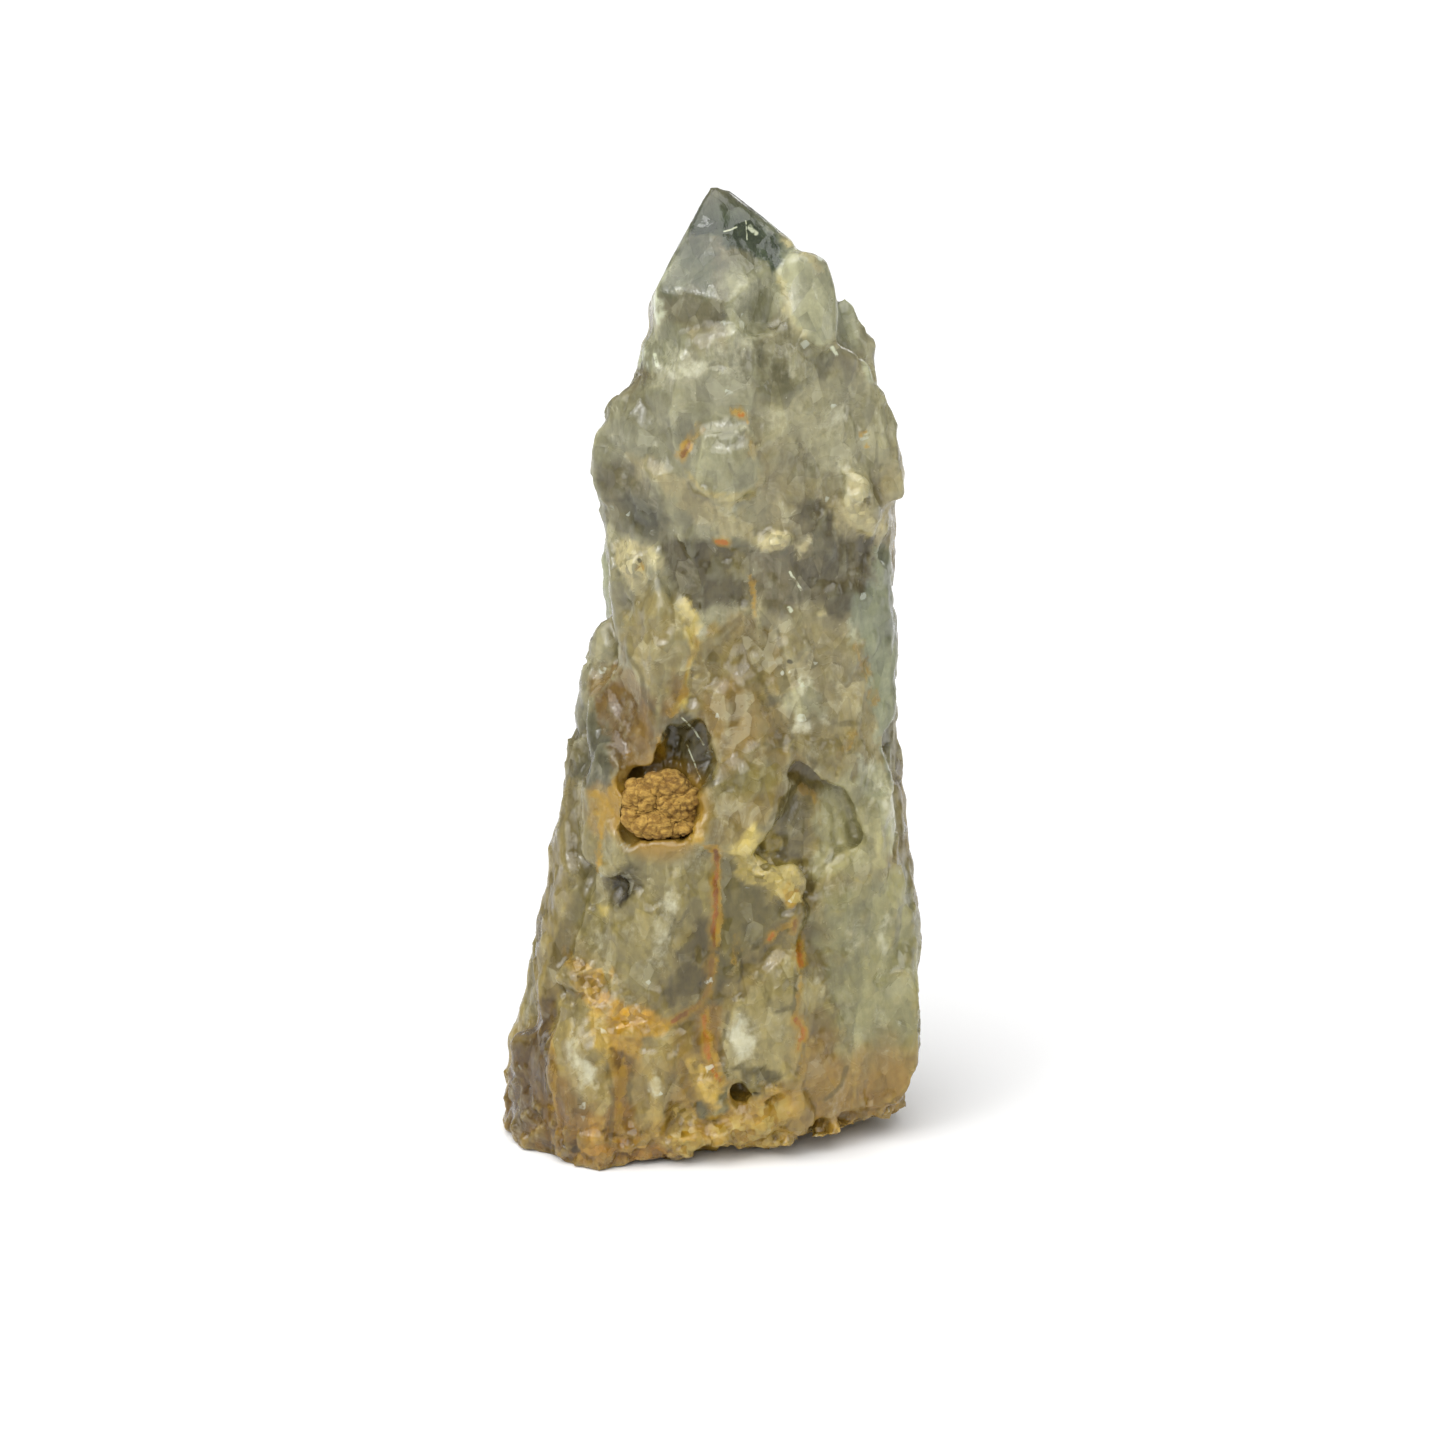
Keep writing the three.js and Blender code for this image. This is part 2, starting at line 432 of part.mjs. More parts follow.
// Shapes to take away: the clay's pocket, the cleft above it, pits, scooped hollows, the chipped underside
function hollows() {
  const random = seeded(HOLLOW_SEED);
  const cleft = [[-3.4, -17, 57.5], [1.8, -17, 49.6], [-0.4, -17, 45.4], [-5.4, -17, 47], [-5, -17, 53]];
  const groove = [[3.9, -17, 61], [5.2, -17, 61.4], [11, -17, 50.6], [9.4, -17, 50]];
  const under = [[-5, -12, -1], [21, 9, -1], [32, 9, -1], [32, -20, -1], [-5, -22, -1],
    [-5, -12, 0], [21, 9, 0], [32, 7, 2.4], [30, -14, 3.6], [6, -22, 2.8]];
  return [
    pocket(),
    // gaps that are open beside the clay, above it on the left and below it
    grain([-9.2, -11.8, 47.4], [2.3, 5.0, 1.9], random, 9),
    grain([-9.6, -12.6, 41.4], [2.0, 4.4, 1.7], random, 9),
    block(cleft, 7.2, 0.7),
    block(groove, 6.2, 0.6),
    // the round pit in the lower left face, and a small one near the foot
    grain([-10.6, -13.2, 34.8], [2.6, 3.6, 2.8], random, 14),
    grain([-12.2, -16.4, 12.4], [1.9, 3.2, 1.9], random, 10),
    // the scooped hollow under the lobes on the right, and the long flute below it
    grain([9.6, -13.6, 44.4], [2.8, 3.6, 3.2], random, 11),
    grain([14.8, -13.4, 39.5], [5.4, 6.2, 8.6], random, 12),
    grain([17.6, -15.2, 24], [5.2, 8.4, 14], random, 12),
    // a cleft between the stout crystals at the left of the foot
    grain([-19.8, -14.0, 9], [1.3, 4.2, 6], random, 9),
    hull(under.map(vec)),
    solid(new THREE.BoxGeometry(120, 120, 20).translate(0, 0, -10)),
  ];
}

function cluster() {
  const random = seeded(11);
  const front = FRONT_BLOCKS.map((ring) => block(ring));
  const flanks = FLANKS.map((ring, i) => {
    const shift = ((i * 0.618) % 1) * 7.2 - 3.4;
    const moved = ring.map(([x, y, z]) => [x, y + shift, z]);
    return ridge(moved, 2.6 + ((i * 0.382) % 1) * 2.6, 2.8 + ((i * 0.755) % 1) * 3.2);
  });
  const points = POINTS.map((spec) => crystal(spec, random));
  const grown = [...heart(), mainCrystal(), ...front, ...flanks, ...points, ...sheath(), ...plates()];
  return cut(join([...grown, ...sprigs(), ...crust()]), hollows());
}

// The clay: a crumbly plug of small lumps in the back of the pocket, clear of the quartz all round
function clay() {
  const random = seeded(CLAY_SEED);
  const [x, y, z] = POCKET.centre;
  // middle, from the pocket's, and half sizes of each lump
  const lumps = [
    [[0, 4.4, 0], [6.2, 3.4, 5.4]],
    [[-2.2, 1.0, 1.2], [2.7, 1.9, 1.7]],
    [[2.2, 0.8, 0.6], [3.0, 2.0, 1.6]],
    [[-0.6, 0.4, -1.9], [3.6, 2.0, 1.6]],
    [[1.2, 0.8, 2.9], [3.0, 1.9, 1.5]],
    [[-3.4, 1.2, -0.8], [2.2, 1.9, 1.5]],
    [[3.0, 0.8, -2.6], [2.2, 1.9, 1.6]],
  ];
  const crumbs = lumps.map(([at, half]) => grain([x + at[0], y + at[1], z + at[2]], half, random, 11));
  return join(crumbs).intersect(pocket(CLAY_GAP));
}

function piece(name, geometry, color, roughness) {
  const finish = new THREE.MeshStandardMaterial({ color, roughness, metalness: 0, flatShading: true });
  const mesh = new THREE.Mesh(geometry, finish);
  mesh.name = name;
  return mesh;
}

const crystals = piece('citrine_cluster', outerGeometry(cluster()), 0xaaa684, 0.25);
const plug = piece('pocket_clay', outerGeometry(clay()), 0xb98a45, 0.95);

const group = new THREE.Group();
group.add(crystals, plug);
// the origin goes below the middle of the outline
const outline = new THREE.Box3().setFromObject(group);
const middle = outline.getCenter(new THREE.Vector3());
group.position.set(-middle.x, -middle.y, 0);
export default group;
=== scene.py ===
"""A smoky citrine cluster on a pale floor: cloudy quartz, a clear point, a clay plug and a stained foot."""
import math
from types import SimpleNamespace

import bmesh
import bpy
import numpy as np
from bpy.props import FloatProperty, FloatVectorProperty, IntProperty, PointerProperty
from mathutils import Euler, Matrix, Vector, noise
from mathutils.bvhtree import BVHTree


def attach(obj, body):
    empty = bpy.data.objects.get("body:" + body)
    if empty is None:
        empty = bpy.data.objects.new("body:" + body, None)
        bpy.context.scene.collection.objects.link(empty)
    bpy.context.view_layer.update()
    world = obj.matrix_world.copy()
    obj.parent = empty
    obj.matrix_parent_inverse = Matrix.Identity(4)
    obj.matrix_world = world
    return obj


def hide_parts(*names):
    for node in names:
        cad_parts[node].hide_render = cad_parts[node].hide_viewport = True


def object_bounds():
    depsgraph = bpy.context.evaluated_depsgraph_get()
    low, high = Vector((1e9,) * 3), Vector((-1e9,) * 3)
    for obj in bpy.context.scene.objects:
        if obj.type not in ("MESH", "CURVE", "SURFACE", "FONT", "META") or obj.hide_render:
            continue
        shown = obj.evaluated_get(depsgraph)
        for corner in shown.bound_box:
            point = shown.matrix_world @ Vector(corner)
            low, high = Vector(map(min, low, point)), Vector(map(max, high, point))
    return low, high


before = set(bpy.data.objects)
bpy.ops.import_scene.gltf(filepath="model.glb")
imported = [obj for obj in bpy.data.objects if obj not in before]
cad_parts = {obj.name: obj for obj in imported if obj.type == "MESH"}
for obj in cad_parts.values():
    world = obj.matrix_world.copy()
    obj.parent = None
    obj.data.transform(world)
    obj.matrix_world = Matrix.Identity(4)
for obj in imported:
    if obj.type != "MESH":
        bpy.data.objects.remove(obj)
CAD_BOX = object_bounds()

bl_info = {
    "name": "Smoky Citrine Cluster",
    "version": (1, 0, 0),
    "blender": (4, 5, 0),
    "location": "View3D > Sidebar > Citrine",
    "description": "Cloudy quartz cluster with a clear point, a clay plug and a stained foot",
    "category": "Add Mesh",
}

MM = 0.001
# Distances to stains are kept up to this many mm
FAR = 4.0
# The hollow that holds the clay, in mm
POCKET_MIDDLE = np.array([-6.1, -11.0, 44.4])
POCKET_HALF = np.array([5.4, 6.4, 4.7])

# Heights in mm over which a change runs, from where it starts to where it is full
SHARP_EDGES = (97.0, 103.0)
CLEAR_POINT = (106.0, 110.0)
FAINT_YELLOW = (84.0, 22.0)
WARM_GROUND = (60.0, 15.0)
SEEPING_STAIN = (50.0, 20.0)
HONEY_GROUND = (20.0, 2.0)
CRUMBLY_FOOT = (9.0, 3.0)
STAINED_FOOT = (6.0, 2.0)
# Distance in metres from the front to the back over which the marks of the front fade
FRONT = (0.001, -0.004)
# Share of red, green and blue that the faint yellow of the lower body takes away
YELLOW_LOSS = np.array([0.03, 0.05, 0.24])
# Points lower than this in metres are the resting face, which stays flat
RESTING = 0.00025
# Rounds of smoothing that find rims and hollows, and how far the surface lies off it there, in metres
RIM_ROUNDS = 4
HOLLOW_ROUNDS = 14
RIM_HEIGHT = 0.00016
HOLLOW_DEPTH = 0.0007

# Where the camera and the lights look, in mm, and half the floor's width in metres
CAMERA_AIM = (1.43, -0.79, 51.83)
LIGHT_AIM = (0, 0, 50)
FLOOR_HALF = 12.0
# The sky is dimmer below and brighter on the left: from and to, and its strength at each
SKY_HEIGHT = (-0.05, 0.6, 0.55, 1.1)
SKY_SIDE = (-0.8, 0.8, 1.12, 0.82)


def tone(red, green, blue):
    """A linear colour from the 0 to 255 values that a screen shows."""
    def linear(v):
        v /= 255
        return v / 12.92 if v <= 0.04045 else ((v + 0.055) / 1.055) ** 2.4
    return (linear(red), linear(green), linear(blue))


# What the quartz looks like, by name
TONES = {name: tone(*screen) for name, screen in {
    "body": (150, 144, 118), "tip": (84, 100, 79), "sage": (146, 149, 125), "milk": (170, 170, 145),
    "pale": (193, 196, 174), "ivory": (196, 186, 148), "sand": (163, 153, 118), "stone": (148, 147, 126),
    "mauve": (143, 134, 100), "shade": (122, 114, 91), "smoke": (93, 84, 54), "slate": (100, 100, 84),
    "tan": (139, 120, 68), "bronze": (128, 98, 36), "honey": (148, 116, 46), "amber": (142, 102, 10),
    "brown": (104, 78, 30), "olive": (110, 98, 60), "hollow": (84, 75, 34), "moss": (131, 121, 74),
    "glass": (156, 163, 145), "straw": (200, 182, 112), "reed": (146, 133, 88), "wheat": (170, 136, 54),
    "cream": (200, 172, 96), "gold": (152, 112, 14), "resin": (116, 84, 6), "toffee": (166, 130, 56),
    "fern": (134, 131, 104), "loam": (152, 120, 46), "ochre": (190, 146, 36), "ice": (206, 212, 197),
    "ink": (40, 33, 18),
}.items()}

# Areas of the front, painted in this order: tone, strength, softness, how clear, outline (x, z) in mm
AREAS = [
    # the broad ground of the upper body, right and left
    ("sand", 0.9, 2, 0.1, [(5, 93), (13, 96), (20, 96), (25, 90), (25, 74), (18, 74), (12, 78), (5, 82)]),
    ("milk", 0.55, 2, 0.12, [(5, 93), (13, 96), (20, 96), (24, 88), (18, 82), (8, 84)]),
    ("stone", 0.9, 2, 0.12, [(-15, 92), (-8, 97), (-2, 99), (6, 99), (6, 90), (0, 84), (-15, 84)]),
    ("fern", 0.85, 0.8, 0.12, [(-13.5, 90.2), (-13, 93), (-8.8, 96.4), (-6, 95), (-6, 91.4), (-9, 89.4)]),
    # the main point: grey-green on the left, milky on the right, dark glass on top with a pale veil, and a
    # pale rim on its left that is a painted reflection
    ("fern", 0.7, 0.9, 0.42, [(-3.4, 108.1), (-0.7, 107.7), (1.4, 108.5), (1.8, 102.7), (0, 100.6),
        (-5.7, 101.2), (-6.2, 104.2)]),
    ("sage", 0.75, 0.9, 0.15, [(1, 109.4), (8, 108.6), (8.2, 101.6), (5, 100), (1.2, 100.8), (1.6, 105)]),
    ("tip", 0.95, 0.3, 0.66, [(0.1, 118), (5.1, 115), (8.2, 111.8), (8.9, 108.5), (7.2, 107),
        (5.1, 108.5), (3.9, 109.8), (1.8, 109.8), (1, 111.2), (0.1, 111), (-2.4, 110.8), (-3.6, 110.8)]),
    ("tip", 0.95, 0.2, 0.62, [(-0.3, 117.6), (-0.9, 114.5), (-1.9, 112.4), (-2.8, 110.9), (-4.2, 110.5),
        (-2.4, 114)]),
    ("glass", 0.8, 0.2, 0.5, [(5.1, 114.8), (8, 112), (10.2, 108.9), (8.9, 108.3), (6.8, 111.2),
        (4.7, 113.4)]),
    ("sage", 0.75, 0.45, 0.15, [(-2.4, 110.8), (-0.3, 111.3), (1, 110.4), (0.5, 109.1), (-0.7, 107.7),
        (-2.8, 107.9), (-3.4, 109.5)]),
    ("tip", 0.58, 0.9, 0.2, [(-4.6, 110.4), (0.4, 110.6), (0.8, 105), (-5.9, 104.6)]),
    # the pale rim down the left of the point: a painted reflection on the side face seen edge-on
    ("ice", 0.95, 0.25, 0.05, [(-3.2, 112.4), (-2.6, 111.5), (-3.8, 109.2), (-5.2, 106.3), (-5.9, 104.3),
        (-5.7, 101.7), (-7, 101.2), (-7.6, 102.8), (-6.6, 105.5), (-4.8, 109.3)]),
    ("ivory", 0.8, 0.2, 0.1, [(8, 111.6), (9.6, 110.9), (9.8, 109.3), (8.6, 109.9)]),
    # the left shoulder and the dark wedge below it
    ("sage", 0.7, 0.8, 0.25, [(-8.6, 99.1), (-5.7, 101.5), (-3.2, 101.1), (-2.8, 99.5), (-4.4, 96.4),
        (-7.4, 94.8), (-9, 96.4)]),
    # a painted highlight on the shoulder's left edge
    ("ice", 0.9, 0.25, 0.05, [(-9, 98.4), (-7.6, 98.9), (-7.3, 96), (-8.6, 95.6)]),
    ("olive", 0.7, 0.4, 0.1, [(-12.2, 92), (-8.5, 95.7), (-6.2, 95.3), (-8.2, 93.2), (-11, 91)]),
    # the second crystal, its yellow edge and the small ones beside it
    ("pale", 0.75, 0.6, 0.15, [(8, 107.9), (10.5, 109.8), (13.4, 109), (14.2, 106.6), (15.1, 104.2),
        (15.4, 101.1), (13.9, 98.7), (12.2, 98.3), (10.5, 99.5), (8.9, 101.5), (8, 105)]),
    ("milk", 0.5, 1, 0.15, [(9.4, 106.6), (12, 107), (13.4, 103), (12.4, 99.4), (10, 101.6)]),
    ("straw", 0.32, 0.3, 0.05, [(7.8, 107.2), (8.8, 107), (8.9, 105), (9.5, 101.9), (10.9, 99.5),
        (10, 99.2), (8.2, 102.4), (7.6, 105.4)]),
    ("ivory", 0.85, 0.2, 0.05, [(10.3, 109.8), (12.1, 109.8), (13.4, 108.6), (13, 107), (11.7, 107.8)]),
    ("pale", 0.8, 0.25, 0.2, [(14.9, 105), (17, 105), (16.4, 103), (15.5, 102.6)]),
    ("glass", 0.6, 0.3, 0.3, [(15.2, 102.6), (17, 103), (16.8, 100.4), (15.4, 100.4)]),
    ("pale", 0.85, 0.25, 0.2, [(16.6, 101), (18.4, 102), (19.2, 99.9), (20, 96.4), (20.4, 93.8),
        (18.5, 94.6), (16.4, 99)]),
    # dark glass under the second crystal
    ("fern", 0.85, 0.7, 0.3, [(5.1, 99.7), (8.8, 101.3), (10.4, 99.6), (12.2, 98.4), (15.4, 98),
        (13.8, 95.6), (10.5, 93.2), (6.8, 92.7), (4.6, 94.8)]),
    ("milk", 0.6, 0.6, 0.1, [(3, 102.6), (5.4, 101.9), (5.4, 99.8), (3.2, 98.6), (1.8, 100)]),
    ("mauve", 0.6, 1.2, 0.08, [(5.5, 88), (9, 89.5), (12, 86.5), (10.5, 81), (6, 82.5)]),
    # the pale scab, its rim, and the bank that runs down to the right under it
    ("milk", 0.5, 0.7, 0.1, [(0.4, 92.4), (3.4, 92), (4.6, 89), (2.9, 88.4), (-0.6, 88.4)]),
    ("milk", 0.6, 0.4, 0.15, [(-0.6, 88.5), (1.2, 89), (2.9, 88.7), (4.9, 86.5), (5.8, 84.4), (5.3, 82.4),
        (3.4, 81.8), (1.2, 82), (-1.4, 83.4), (-2.4, 84.6), (-1.4, 86.6)]),
    ("straw", 0.45, 0.3, 0.05, [(-2.6, 84.8), (-1.8, 84), (0.4, 82.4), (3.4, 82), (5.2, 82.8),
        (4.8, 81.6), (2.5, 80.6), (0.2, 81.4), (-2.4, 83.4)]),
    # painted shade under the left end of the bank, darkest in the niche there
    ("smoke", 0.58, 1, 0.4, [(-13.6, 84.6), (-9.4, 83.6), (-6.4, 82), (-4.4, 80), (-4.6, 76.4),
        (-8, 75.8), (-12.4, 77)]),
    ("slate", 0.7, 0.8, 0.5, [(-9.4, 81.4), (-6.6, 81.2), (-5.4, 79.4), (-6.2, 77), (-9.2, 77.2)]),
    ("sand", 0.85, 0.6, 0.05, [(-9.6, 85.4), (-5.5, 84.6), (-2, 82.6), (1.2, 80.6), (5, 79), (5.2, 76.4),
        (3.5, 76), (0, 78.2), (-2.9, 80.2), (-6.4, 82.4), (-9.3, 83.9)]),
    # cream ledges
    ("ivory", 0.85, 0.3, 0.05, [(15.3, 83.4), (16.6, 84.6), (18, 83.4), (17.3, 82.2), (18.2, 81.2),
        (19.6, 78), (20, 75.8), (18.9, 75.6), (17.4, 76.8), (16, 77.6), (15.7, 79.5), (15, 80.7)]),
    ("ivory", 0.75, 0.3, 0.08, [(-10.8, 74.8), (-7.8, 75.4), (-5.2, 74), (-5.2, 73), (-6.4, 72.4),
        (-6.7, 70), (-7.8, 69), (-9.3, 70.2), (-11.4, 72)]),
    # the dark band across the body
    ("smoke", 0.95, 0.7, 0.3, [(-5, 76.8), (1, 76.4), (4.9, 75.6), (5, 70.4), (3.8, 68.4), (0.6, 67.8),
        (-2, 67.4), (-5, 71.3), (-5.6, 73.4)]),
    ("shade", 0.92, 0.7, 0.34, [(5.2, 75.4), (9.6, 75.2), (12, 75), (12.6, 69.4), (10.4, 67.6), (7, 67.6),
        (5.2, 70.4)]),
    ("smoke", 0.8, 0.6, 0.34, [(9, 81.4), (13, 80.4), (15, 76.4), (19.4, 75.6), (19.8, 70.5),
        (18.3, 67.4), (15.1, 66.4), (12.8, 67.6), (12, 72), (11.6, 76)]),
    ("moss", 0.5, 0.4, 0.1, [(2.6, 75.4), (4.4, 75.2), (4.4, 69), (3.2, 69)]),
    ("ivory", 0.9, 0.25, 0.05, [(5.1, 76), (6.2, 77.4), (7.8, 78), (9.4, 77.4), (9.8, 76), (8.6, 75.2),
        (6.4, 75.2)]),
    ("ivory", 0.8, 0.25, 0.05, [(10, 75.4), (11.7, 76.3), (11.3, 74.3), (10.1, 74.2)]),
    # the smooth pointed plate on the left of the middle, golden at its foot, and the brown one below it
    ("reed", 0.92, 0.35, 0.08, [(-9.4, 69.8), (-6.6, 70.5), (-4.2, 69.1), (-2.4, 67.1), (-1.9, 65.2),
        (-2.1, 63), (-2.8, 60.6), (-3.3, 58.4), (-4.5, 56.3), (-6.2, 55.7), (-7.8, 57.4), (-8.3, 60.2),
        (-10.4, 62.5), (-10.2, 66.1)]),
    ("honey", 0.85, 0.6, 0.2, [(-4.6, 60.3), (-2.8, 60.6), (-3.5, 55.7), (-4.8, 54.2), (-6.2, 55.2),
        (-6.2, 57)]),
    ("hollow", 0.85, 0.25, 0.15, [(-6.2, 73.6), (-5.1, 73.7), (-4.5, 71.6), (-2.8, 69.8), (-1.7, 68.1),
        (-2.8, 68.5), (-4.5, 70.2), (-5.7, 71.8)]),
    ("slate", 0.75, 0.6, 0.4, [(-18, 54.8), (-13.6, 53.9), (-12.2, 51.8), (-11.6, 48.7), (-13.6, 45),
        (-19, 45)]),
    ("bronze", 0.92, 0.4, 0.2, [(-14.4, 57), (-11.8, 59.2), (-9.5, 60.4), (-8.2, 58.9), (-7.2, 56.7),
        (-5.9, 54.4), (-5, 52.2), (-5.3, 49.8), (-6.9, 48.7), (-9.6, 48.2), (-11.4, 49.4), (-12.2, 52.2),
        (-13.8, 54.4)]),
    ("ochre", 0.7, 0.45, 0, [(-6.5, 52.7), (-5.7, 52.7), (-5, 51.3), (-5.3, 49.8), (-6.9, 49),
        (-6.6, 50.8)]),
    ("ochre", 0.4, 0.8, 0, [(-14, 47.6), (-10.2, 48), (-9.8, 44), (-10.6, 40.2), (-13.6, 39),
        (-14.6, 43)]),
    # the big plates in the middle and on the right, and the glassy right side
    ("tan", 0.92, 0.4, 0.05, [(-1.5, 63), (-0.8, 65.2), (0.7, 66.4), (3.4, 67.4), (6.2, 66.4),
        (7.9, 63.3), (9, 58.9), (8.8, 56), (9.7, 52.7), (5.2, 52.7), (2.5, 50.5), (1.1, 48.8),
        (-1.2, 53.5), (-2.8, 55.7), (-2.6, 58.9)]),
    ("moss", 0.4, 0.9, 0.05, [(-1.6, 62), (1, 66), (6, 65), (8, 60), (8, 54), (2, 52), (-2, 56)]),
    ("honey", 0.5, 0.9, 0.05, [(-0.8, 58.9), (3.4, 60.2), (6.1, 57.9), (7.5, 54.4), (4.8, 52.7),
        (1.6, 51.8), (-1, 53.9)]),
    ("tan", 0.25, 1, 0.05, [(8, 66), (16, 65), (19, 55), (9, 55)]),
    ("sand", 0.6, 0.4, 0.08, [(7.9, 65.9), (12.4, 66.2), (15.8, 65.3), (17.4, 62.1), (18.8, 58.5),
        (19.2, 55.8), (17.8, 53.9), (15.1, 54), (12.4, 55.8), (10.6, 54.8), (9.3, 56.7), (8.9, 60.2)]),
    ("pale", 0.45, 0.5, 0.1, [(10.4, 59), (12.8, 59.3), (13.4, 55.8), (10.6, 54.8), (9.2, 56.7)]),
    ("reed", 0.85, 0.4, 0.08, [(10.6, 54.5), (13.3, 55.7), (16, 54), (17.8, 53.9), (19.6, 54),
        (19.8, 50.4), (16.9, 49.6), (15.1, 48.8), (12.4, 49.6), (9.8, 51.8)]),
    ("hollow", 0.8, 0.22, 0.15, [(7.4, 58.5), (9.1, 57.9), (9.5, 57.2), (8.3, 56), (7.6, 57)]),
    ("glass", 0.92, 0.5, 0.3, [(19.8, 74), (26, 74), (28, 38), (23.2, 38.3), (22.7, 45), (20.9, 48.8),
        (19.7, 54), (18.9, 58.9), (17.5, 63), (16.2, 65.4), (17, 69.3), (19.4, 70)]),
    ("ivory", 0.7, 0.2, 0.05, [(12.7, 68.2), (13.7, 67.7), (13.8, 66.8), (12.9, 67.1)]),
    ("ice", 0.6, 0.22, 0.1, [(15.3, 65.8), (16.2, 65.8), (17, 63), (16.2, 62.7)]),
    ("ivory", 0.7, 0.2, 0.05, [(4.8, 68.2), (6.1, 68.5), (6, 66.8), (5, 67.2)]),
    ("hollow", 0.13, 0.9, 0.05, [(-0.8, 64), (6.2, 66), (8.6, 58), (9, 53), (2.5, 51), (-2, 56)]),
    ("straw", 0.8, 0.25, 0, [(-2.9, 69.4), (-1.1, 66.8), (-1.1, 63.6), (-2.1, 59.6), (-3.4, 56),
        (-4.2, 55.8), (-3, 59.6), (-2.2, 63.4), (-2.3, 66.4), (-3.7, 69)]),
    # dark glass above the pocket, with painted shade in the cave just over the clay
    ("olive", 0.95, 0.3, 0.55, [(-3.3, 55.3), (-1.2, 53.5), (1.1, 48.8), (-0.8, 46.5), (-2.8, 46.9),
        (-4.6, 48.3), (-6.2, 48.5), (-5.1, 50.6), (-5.1, 54)]),
    # painted shade in the cave over the clay
    ("hollow", 0.7, 0.3, 0.5, [(-6.2, 48.5), (-4.5, 49.7), (-2.8, 48.8), (-3, 46.9), (-4.2, 47.4)]),
    # the lobe, the crumbly lumps, and the fluted face on the right of it
    ("tan", 0.9, 0.4, 0.05, [(2.5, 50.5), (5.2, 52.6), (9.8, 51.8), (12.4, 49.6), (10.6, 46.5), (7, 43.3),
        (3.4, 40.5), (-1.5, 40.5), (-2.8, 42.8), (-1.5, 45.9), (1.1, 48.7)]),
    ("moss", 0.9, 0.9, 0.05, [(-1, 41), (-1, 45), (1, 49), (8, 50.6), (8.4, 46.6), (3, 46)]),
    ("hollow", 0.2, 0.9, 0.05, [(2.5, 50.5), (5.2, 52.6), (9.8, 51.8), (12.4, 49.6), (10.6, 46.5),
        (3.4, 40.5), (-1.5, 40.5), (1.1, 48.7)]),
    ("straw", 0.75, 0.35, 0.05, [(-4.2, 44), (-1.9, 44.9), (-1.3, 42.8), (-1.6, 41.2), (-3.4, 41.2)]),
    ("reed", 0.85, 0.5, 0.05, [(11.8, 48.8), (15.8, 48.4), (19.6, 43), (21.6, 36), (17, 34.4),
        (12.4, 34.6), (11, 38), (11.8, 42), (10.2, 45.4)]),
    ("milk", 0.7, 0.4, 0.05, [(13.6, 46.9), (15.8, 48.2), (18.2, 46.9), (20.1, 44.2), (21.4, 41.4),
        (21.9, 38.4), (21.4, 34.7), (12.4, 34.7), (12.8, 41.4), (13.3, 44.7)]),
    ("ice", 0.5, 0.3, 0.25, [(16.9, 49.4), (19.6, 49), (22.3, 45.8), (22.8, 38.4), (21.7, 38.4),
        (20, 42.7), (18.2, 46)]),
    # painted shade on the left side of the hollow beside the fluted face
    ("olive", 0.5, 0.4, 0.05, [(10.2, 46.8), (14.2, 48.8), (14.9, 47.2), (13.4, 45), (12.4, 44.2),
        (10.9, 45.9)]),
    ("shade", 0.7, 0.4, 0.1, [(7, 42.8), (8.9, 44.7), (10.9, 45), (12.4, 44.1), (11.8, 39.5),
        (9.1, 39.5)]),
    ("straw", 0.9, 0.3, 0.05, [(3.4, 41), (5.6, 42.4), (8.4, 39.6), (9, 38), (11, 37.4), (10.8, 34.4),
        (9.4, 32), (6.4, 34.8), (4.2, 35.8), (1.8, 37.8)]),
    # the low right, with a light streak down its left side that is a painted highlight
    ("sand", 0.75, 0.8, 0.2, [(11.2, 31), (14, 35), (25, 35.6), (27, 19.3), (27, 7), (16.4, 8),
        (13.9, 22.1)]),
    ("milk", 0.85, 1.6, 0.2, [(13, 33), (25, 35), (27, 20), (26, 12), (16.6, 13)]),
    ("moss", 0.6, 0.5, 0.15, [(11, 31), (13.4, 28), (15.8, 20), (16.6, 11), (14.6, 13), (12.4, 22)]),
    ("milk", 0.6, 0.5, 0.15, [(11.4, 30.8), (14.7, 24), (16.6, 17.8), (17, 11), (15.9, 11), (15.3, 17.6),
        (13.3, 24)]),
    # the broad face at the lower left with its pit, darkened with painted shade, and the dark glass and slabs
    # beside it
    ("mauve", 0.9, 0.6, 0.15, [(-16, 40.4), (0.5, 40.6), (0.6, 32.2), (-2.2, 31.3), (-4, 29.8),
        (-6.3, 22.6), (-8.5, 21.2), (-12.6, 25), (-16.4, 28.9)]),
    ("moss", 0.7, 0.5, 0.2, [(-16.4, 31), (-12.1, 32.2), (-11.2, 30.3), (-12.6, 27.4), (-16, 27)]),
    # painted shade in the pit
    ("hollow", 0.95, 0.3, 0.1, [(-12.6, 35.4), (-11, 37.9), (-8.4, 37.7), (-7.4, 35.5), (-8.8, 33),
        (-10.8, 31.8), (-12.4, 33.2)]),
    ("ink", 0.9, 0.4, 0, [(-11.6, 35.2), (-10.6, 36.8), (-9.2, 36.6), (-8.6, 35), (-9.4, 33),
        (-10.8, 32.4)]),
    ("straw", 0.7, 0.3, 0, [(-13, 31.6), (-12, 32), (-11.4, 30.2), (-12.6, 30)]),
    ("olive", 0.95, 0.3, 0.4, [(-2.4, 30.8), (-0.2, 31.9), (0.6, 29.4), (0.3, 24.6), (-0.8, 22.6),
        (-2.7, 21), (-4.5, 21.2), (-5.6, 22.1), (-4.9, 25), (-3.7, 26.5), (-3.1, 28.9)]),
